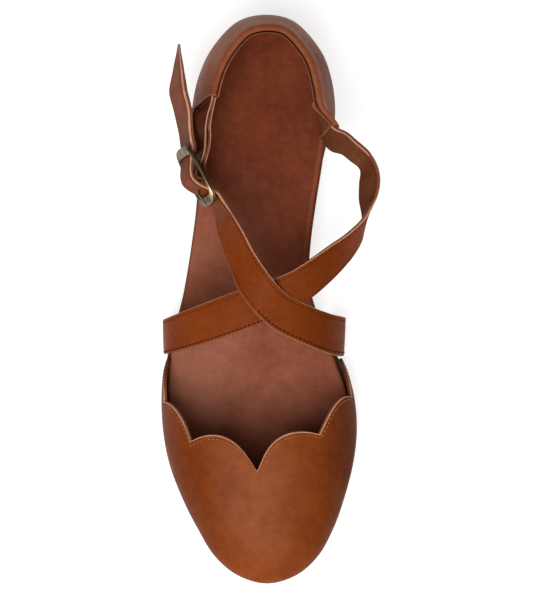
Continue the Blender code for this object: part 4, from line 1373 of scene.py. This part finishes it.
def stitches(lines, sunk=0.0):
    """Spindles along lines of (points, normals): rings at five places along each stitch, thick in the middle
    and low at both ends. 'sunk' lays them deeper in the leather."""
    place, thick, lift = np.array(STITCH_RINGS).T * [[STITCH_LONG], [STITCH_WIDE], [STITCH_WIDE]]
    lift = lift - sunk
    ring = full_turn(STITCH_SIDES)
    bodies = []
    for points, normals in lines:
        run = run_of(points)
        count = max(1, int(run[-1] / STITCH_PITCH))
        at = (np.arange(count) + 0.5) * run[-1] / count
        way = unit(read_off(at, run, np.gradient(points, run, axis=0)))
        face = unit(read_off(at, run, normals))
        over = unit(np.cross(way, face))
        middle = read_off(at, run, points)[:, None] + way[:, None] * place[:, None]
        middle = middle + face[:, None] * lift[:, None]
        spread = face[:, None] * np.cos(ring)[:, None] + over[:, None] * np.sin(ring)[:, None]
        bodies.append(middle[:, :, None] + spread[:, None] * thick[:, None, None])
    bodies = np.concatenate(bodies)
    number, rings, sides = bodies.shape[:3]
    spindle = ring_faces(rings, sides)
    starts = range(0, number * rings * sides, rings * sides)
    faces = [[start + corner for corner in corners] for start in starts for corners in spindle]
    return bodies.reshape(-1, 3), faces


def strap_seam(path, edge, inset, face, first, last):
    """Seam line near one edge (-1 front, 1 rear) of one face of a strap, between two shares of its length."""
    middle, half, normal = strap_frame(path, STRAP_STEP)
    run = run_of(middle) / run_of(middle)[-1]
    kept = (run >= first) & (run <= last)
    width = np.linalg.norm(half, axis=1)[:, None]
    inward = 1.0 - inset / np.maximum(width, inset)
    line = middle + half * inward * edge + normal * face * (STRAP_THICK / 2.0 - 0.1)
    return line[kept], normal[kept] * face


def seam_row(distance):
    """Line on the vamp at a distance from the throat, read off each column of its grid."""
    columns = range(vamp_outer.shape[1])
    line = [read_off(distance, from_throat[::-1, spot], vamp_outer[::-1, spot]) for spot in columns]
    return np.array(line)


# strap, edge, inset, face, and the first and last share of the strap's length
STRONG_SEAMS = (
    (path_a, -1.0, FRONT_SEAM_A, -1.0, 0.03, 0.25),
    (path_b, -1.0, FRONT_SEAM_B, 1.0, 0.04, 0.40),
)
WORN_SEAMS = (
    (path_a, -1.0, FRONT_SEAM_A, -1.0, 0.255, 0.345),
    (path_a, -1.0, REAR_SEAM, -1.0, 0.40, 0.93),
    (path_a, 1.0, REAR_SEAM, -1.0, 0.03, 0.93),
    (path_b, -1.0, FRONT_SEAM_B, 1.0, 0.405, 0.48),
    (path_b, -1.0, FRONT_SEAM_B, 1.0, 0.80, 0.90),
    (path_b, 1.0, REAR_SEAM, 1.0, 0.04, 0.90),
    (path_a, -1.0, FRONT_SEAM_A, 1.0, 0.03, 0.93),
    (path_b, -1.0, FRONT_SEAM_B, -1.0, 0.04, 0.90),
    (path_a, 1.0, REAR_SEAM, 1.0, 0.03, 0.93),
    (path_b, 1.0, REAR_SEAM, -1.0, 0.04, 0.90),
)
# columns of the vamp's grid at each wing that have no stitches, and the row whose normals they follow
BARE_COLUMNS = 8
SEAM_NORMALS = -6
strong_lines = [strap_seam(*row) for row in STRONG_SEAMS]
strap_thread = piece("strap_thread", *stitches(strong_lines), [DARK_THREAD])
dress(strap_thread, "strap_leather")
worn_lines = [strap_seam(*row) for row in WORN_SEAMS]
worn_thread = piece("strap_thread_worn", *stitches(worn_lines, WORN_SUNK), [WORN_THREAD])
dress(worn_thread, "strap_leather")
sewn = slice(BARE_COLUMNS, -BARE_COLUMNS)
throat_lines = [(seam_row(SEAM_IN)[sewn], vamp_normal[SEAM_NORMALS, sewn])]
throat_thread = piece("throat_thread", *stitches(throat_lines), [TAN_THREAD])
dress(throat_thread, "upper_leather")

# %% [markdown]
# ## Buckle
# A cast brass frame with broad flat ends, a middle bar and a hooked prong. The frame is a rounded
# section carried round a rounded rectangle; it gets broader where its normal points along the strap.

# %% Buckle frame, bar and prong
FRAME_HALF_LONG = 12.4
FRAME_HALF_WIDE = 10.1
FRAME_CORNER = 0.45
SIDE_ROD = 0.95
END_ROD = 2.3
BAR_ROD = 1.3
PRONG_ROD = 0.7
POLISHED_AT = (-10.2, 10.1, 0.6)
POLISHED_REACH = 2.6
FRAME_STEPS = 160
ROD_SIDES = 24
ROD_SQUARE = 0.7
BAR_STEPS = 12
PRONG_SIDES = 14
# share of the prong's length, share of its radius there
PRONG_TAPER = ((0.0, 0.03, 0.5, 0.96, 1.0), (0.5, 1.0, 1.0, 0.8, 0.3))
# way towards the tail, stand-off
PRONG = (
    (0.4, 2.42),
    (1.75, 1.75),
    (2.45, 0.0),
    (1.75, -1.75),
    (0.0, -2.45),
    (-1.9, -1.75),
    (-3.0, -0.6),
    (-4.5, 0.7),
    (-6.3, 2.0),
    (-8.6, 2.8),
    (-11.0, 2.3),
    (-13.4, 1.7),
)


def signed_power(values, power):
    return np.sign(values) * np.abs(values) ** power


def frame_grid():
    """Section (a flattened circle) carried round a superellipse; it is broader where the frame's normal runs
    lengthwise."""
    turn = full_turn(FRAME_STEPS)
    long = FRAME_HALF_LONG * signed_power(np.cos(turn), FRAME_CORNER)
    wide = FRAME_HALF_WIDE * signed_power(np.sin(turn), FRAME_CORNER)
    closed = np.stack([np.append(long, long[0]), np.append(wide, wide[0])], axis=1)
    run = run_of(closed)
    middle = read_off(np.linspace(0.0, run[-1], FRAME_STEPS + 1)[:-1], run, closed)
    tangent = unit(np.roll(middle, -1, axis=0) - np.roll(middle, 1, axis=0))
    normal = np.stack([tangent[:, 1], -tangent[:, 0]], axis=1)
    broad = SIDE_ROD + (END_ROD - SIDE_ROD) * np.abs(normal[:, 0]) ** 2
    ring = full_turn(ROD_SIDES)
    spread = broad[:, None] * signed_power(np.cos(ring), ROD_SQUARE)
    return at_buckle(
        middle[:, 0, None] + normal[:, 0, None] * spread,
        middle[:, 1, None] + normal[:, 1, None] * spread,
        SIDE_ROD * signed_power(np.sin(ring), ROD_SQUARE)[None, :],
    )


def bar_grid():
    """Circles across the buckle, from one side of the frame to the other."""
    ring = full_turn(ROD_SIDES)
    across = np.linspace(-FRAME_HALF_WIDE, FRAME_HALF_WIDE, BAR_STEPS)
    return at_buckle(BAR_ROD * np.cos(ring)[None], across[:, None], BAR_ROD * np.sin(ring)[None])


def prong_grid():
    """Circles carried along the prong's path in the buckle's lengthwise plane, thinner at both ends."""
    path = curve(PRONG, 0.5, 5)
    tangent = unit(np.gradient(path, axis=0))
    share = run_of(path) / run_of(path)[-1]
    rods = PRONG_ROD * np.interp(share, *PRONG_TAPER)[:, None]
    ring = full_turn(PRONG_SIDES)
    return at_buckle(
        path[:, 0, None] - tangent[:, 1, None] * rods * np.cos(ring),
        rods * np.sin(ring),
        path[:, 1, None] + tangent[:, 0, None] * rods * np.cos(ring),
    )


frame_points = frame_grid()
frame_faces = quads(*frame_points.shape[:2], wrap_rows=True, wrap_columns=True)
bar_points = bar_grid()
bar_faces = quads(*bar_points.shape[:2], wrap_columns=True) + len(frame_points.reshape(-1, 3))
both = np.concatenate([frame_points.reshape(-1, 3), bar_points.reshape(-1, 3)])
polish = bell(distance_to(both, at_buckle(*POLISHED_AT)), 1.0, POLISHED_REACH)
buckle_faces = np.concatenate([frame_faces, bar_faces]).tolist()
buckle = piece("buckle_cast_frame", both, buckle_faces, [BRASS], None, {"polish": polish})
dress(buckle, "buckle_brass", "buckle_frame")
prong_points = prong_grid()
prong_faces = ring_faces(*prong_points.shape[:2])
prong = piece("buckle_hook_prong", prong_points.reshape(-1, 3), prong_faces, [BRASS])
dress(prong, "prong_brass", "buckle_prong")

# %% [markdown]
# ## Floor, light and camera
# The photo looks straight down on a white ground, with a broad soft light from the toe and the outer
# side. A weak warm one behind the heel keeps the counter from going grey. The floor is a plain pale sheet
# that glows a little, so that it stays white under the shadow; a bare white one would need more light.

# %% Floor
FLOOR_HALF = 3.0
floor_mesh = bpy.data.meshes.new("floor")
floor_corners = np.array([(-1, -1, 0), (1, -1, 0), (1, 1, 0), (-1, 1, 0)]) * FLOOR_HALF
floor_mesh.from_pydata(floor_corners.tolist(), [], [(0, 1, 2, 3)])
floor_looks = {
    "Roughness": 0.8,
    "Base_Color": (0.5, 0.5, 0.5, 1.0),
    "Emission_Color": (1.0, 1.0, 1.0, 1.0),
    "Emission_Strength": 0.75,
}
floor_mesh.materials.append(new_finish("pale_floor", **floor_looks)[0])
floor = bpy.data.objects.new("floor", floor_mesh)
bpy.context.scene.collection.objects.link(floor)


# %% Light
AIM_UP = 0.02
# place in metres, size, watts and tint
LIGHTS = {
    "key_from_toe": ((-0.24, -0.64, 1.42), 1.2, 25.0, (1.0, 1.0, 1.0)),
    "heel_fill": ((0.4, 0.95, 1.0), 0.9, 1.7, (1.0, 0.80, 0.62)),
}


def soft_light(name, place, size, power, tint):
    """Square area light that looks at the middle of the shoe and that no camera sees."""
    data = bpy.data.lights.new(name, "AREA")
    data.size = size
    data.energy = power
    data.color = tint
    lamp = bpy.data.objects.new(name, data)
    lamp.location = place
    back = np.array(place) - (0.0, 0.0, AIM_UP)
    flat = np.hypot(back[0], back[1])
    lamp.rotation_euler = (np.arctan2(flat, back[2]), 0.0, np.arctan2(back[1], back[0]) + np.pi / 2)
    lamp.visible_camera = False
    bpy.context.scene.collection.objects.link(lamp)


for light_name, light_row in LIGHTS.items():
    soft_light(light_name, *light_row)
print("lights:", ", ".join(LIGHTS))
world = bpy.data.worlds.new("studio")
bpy.context.scene.world = world
world.use_nodes = True
sky = world.node_tree.nodes["Background"].inputs
sky["Color"].default_value = (1.0, 1.0, 1.0, 1.0)
sky["Strength"].default_value = 0.1
bpy.context.scene.view_settings.view_transform = "Standard"

# %% Camera
IMAGE_HIGH = 600
CAMERA_UP = 1.61
SEEN_MM_PER_PIXEL = 0.468
camera_data = bpy.data.cameras.new("camera")
camera_data.sensor_width = 36.0
camera_data.lens = camera_data.sensor_width * CAMERA_UP / (IMAGE_HIGH * SEEN_MM_PER_PIXEL * MM)
camera = bpy.data.objects.new("camera", camera_data)
camera.location = (0.0, 0.0, CAMERA_UP)
bpy.context.scene.collection.objects.link(camera)
bpy.context.scene.camera = camera
print("lens", round(camera_data.lens, 1), "mm")
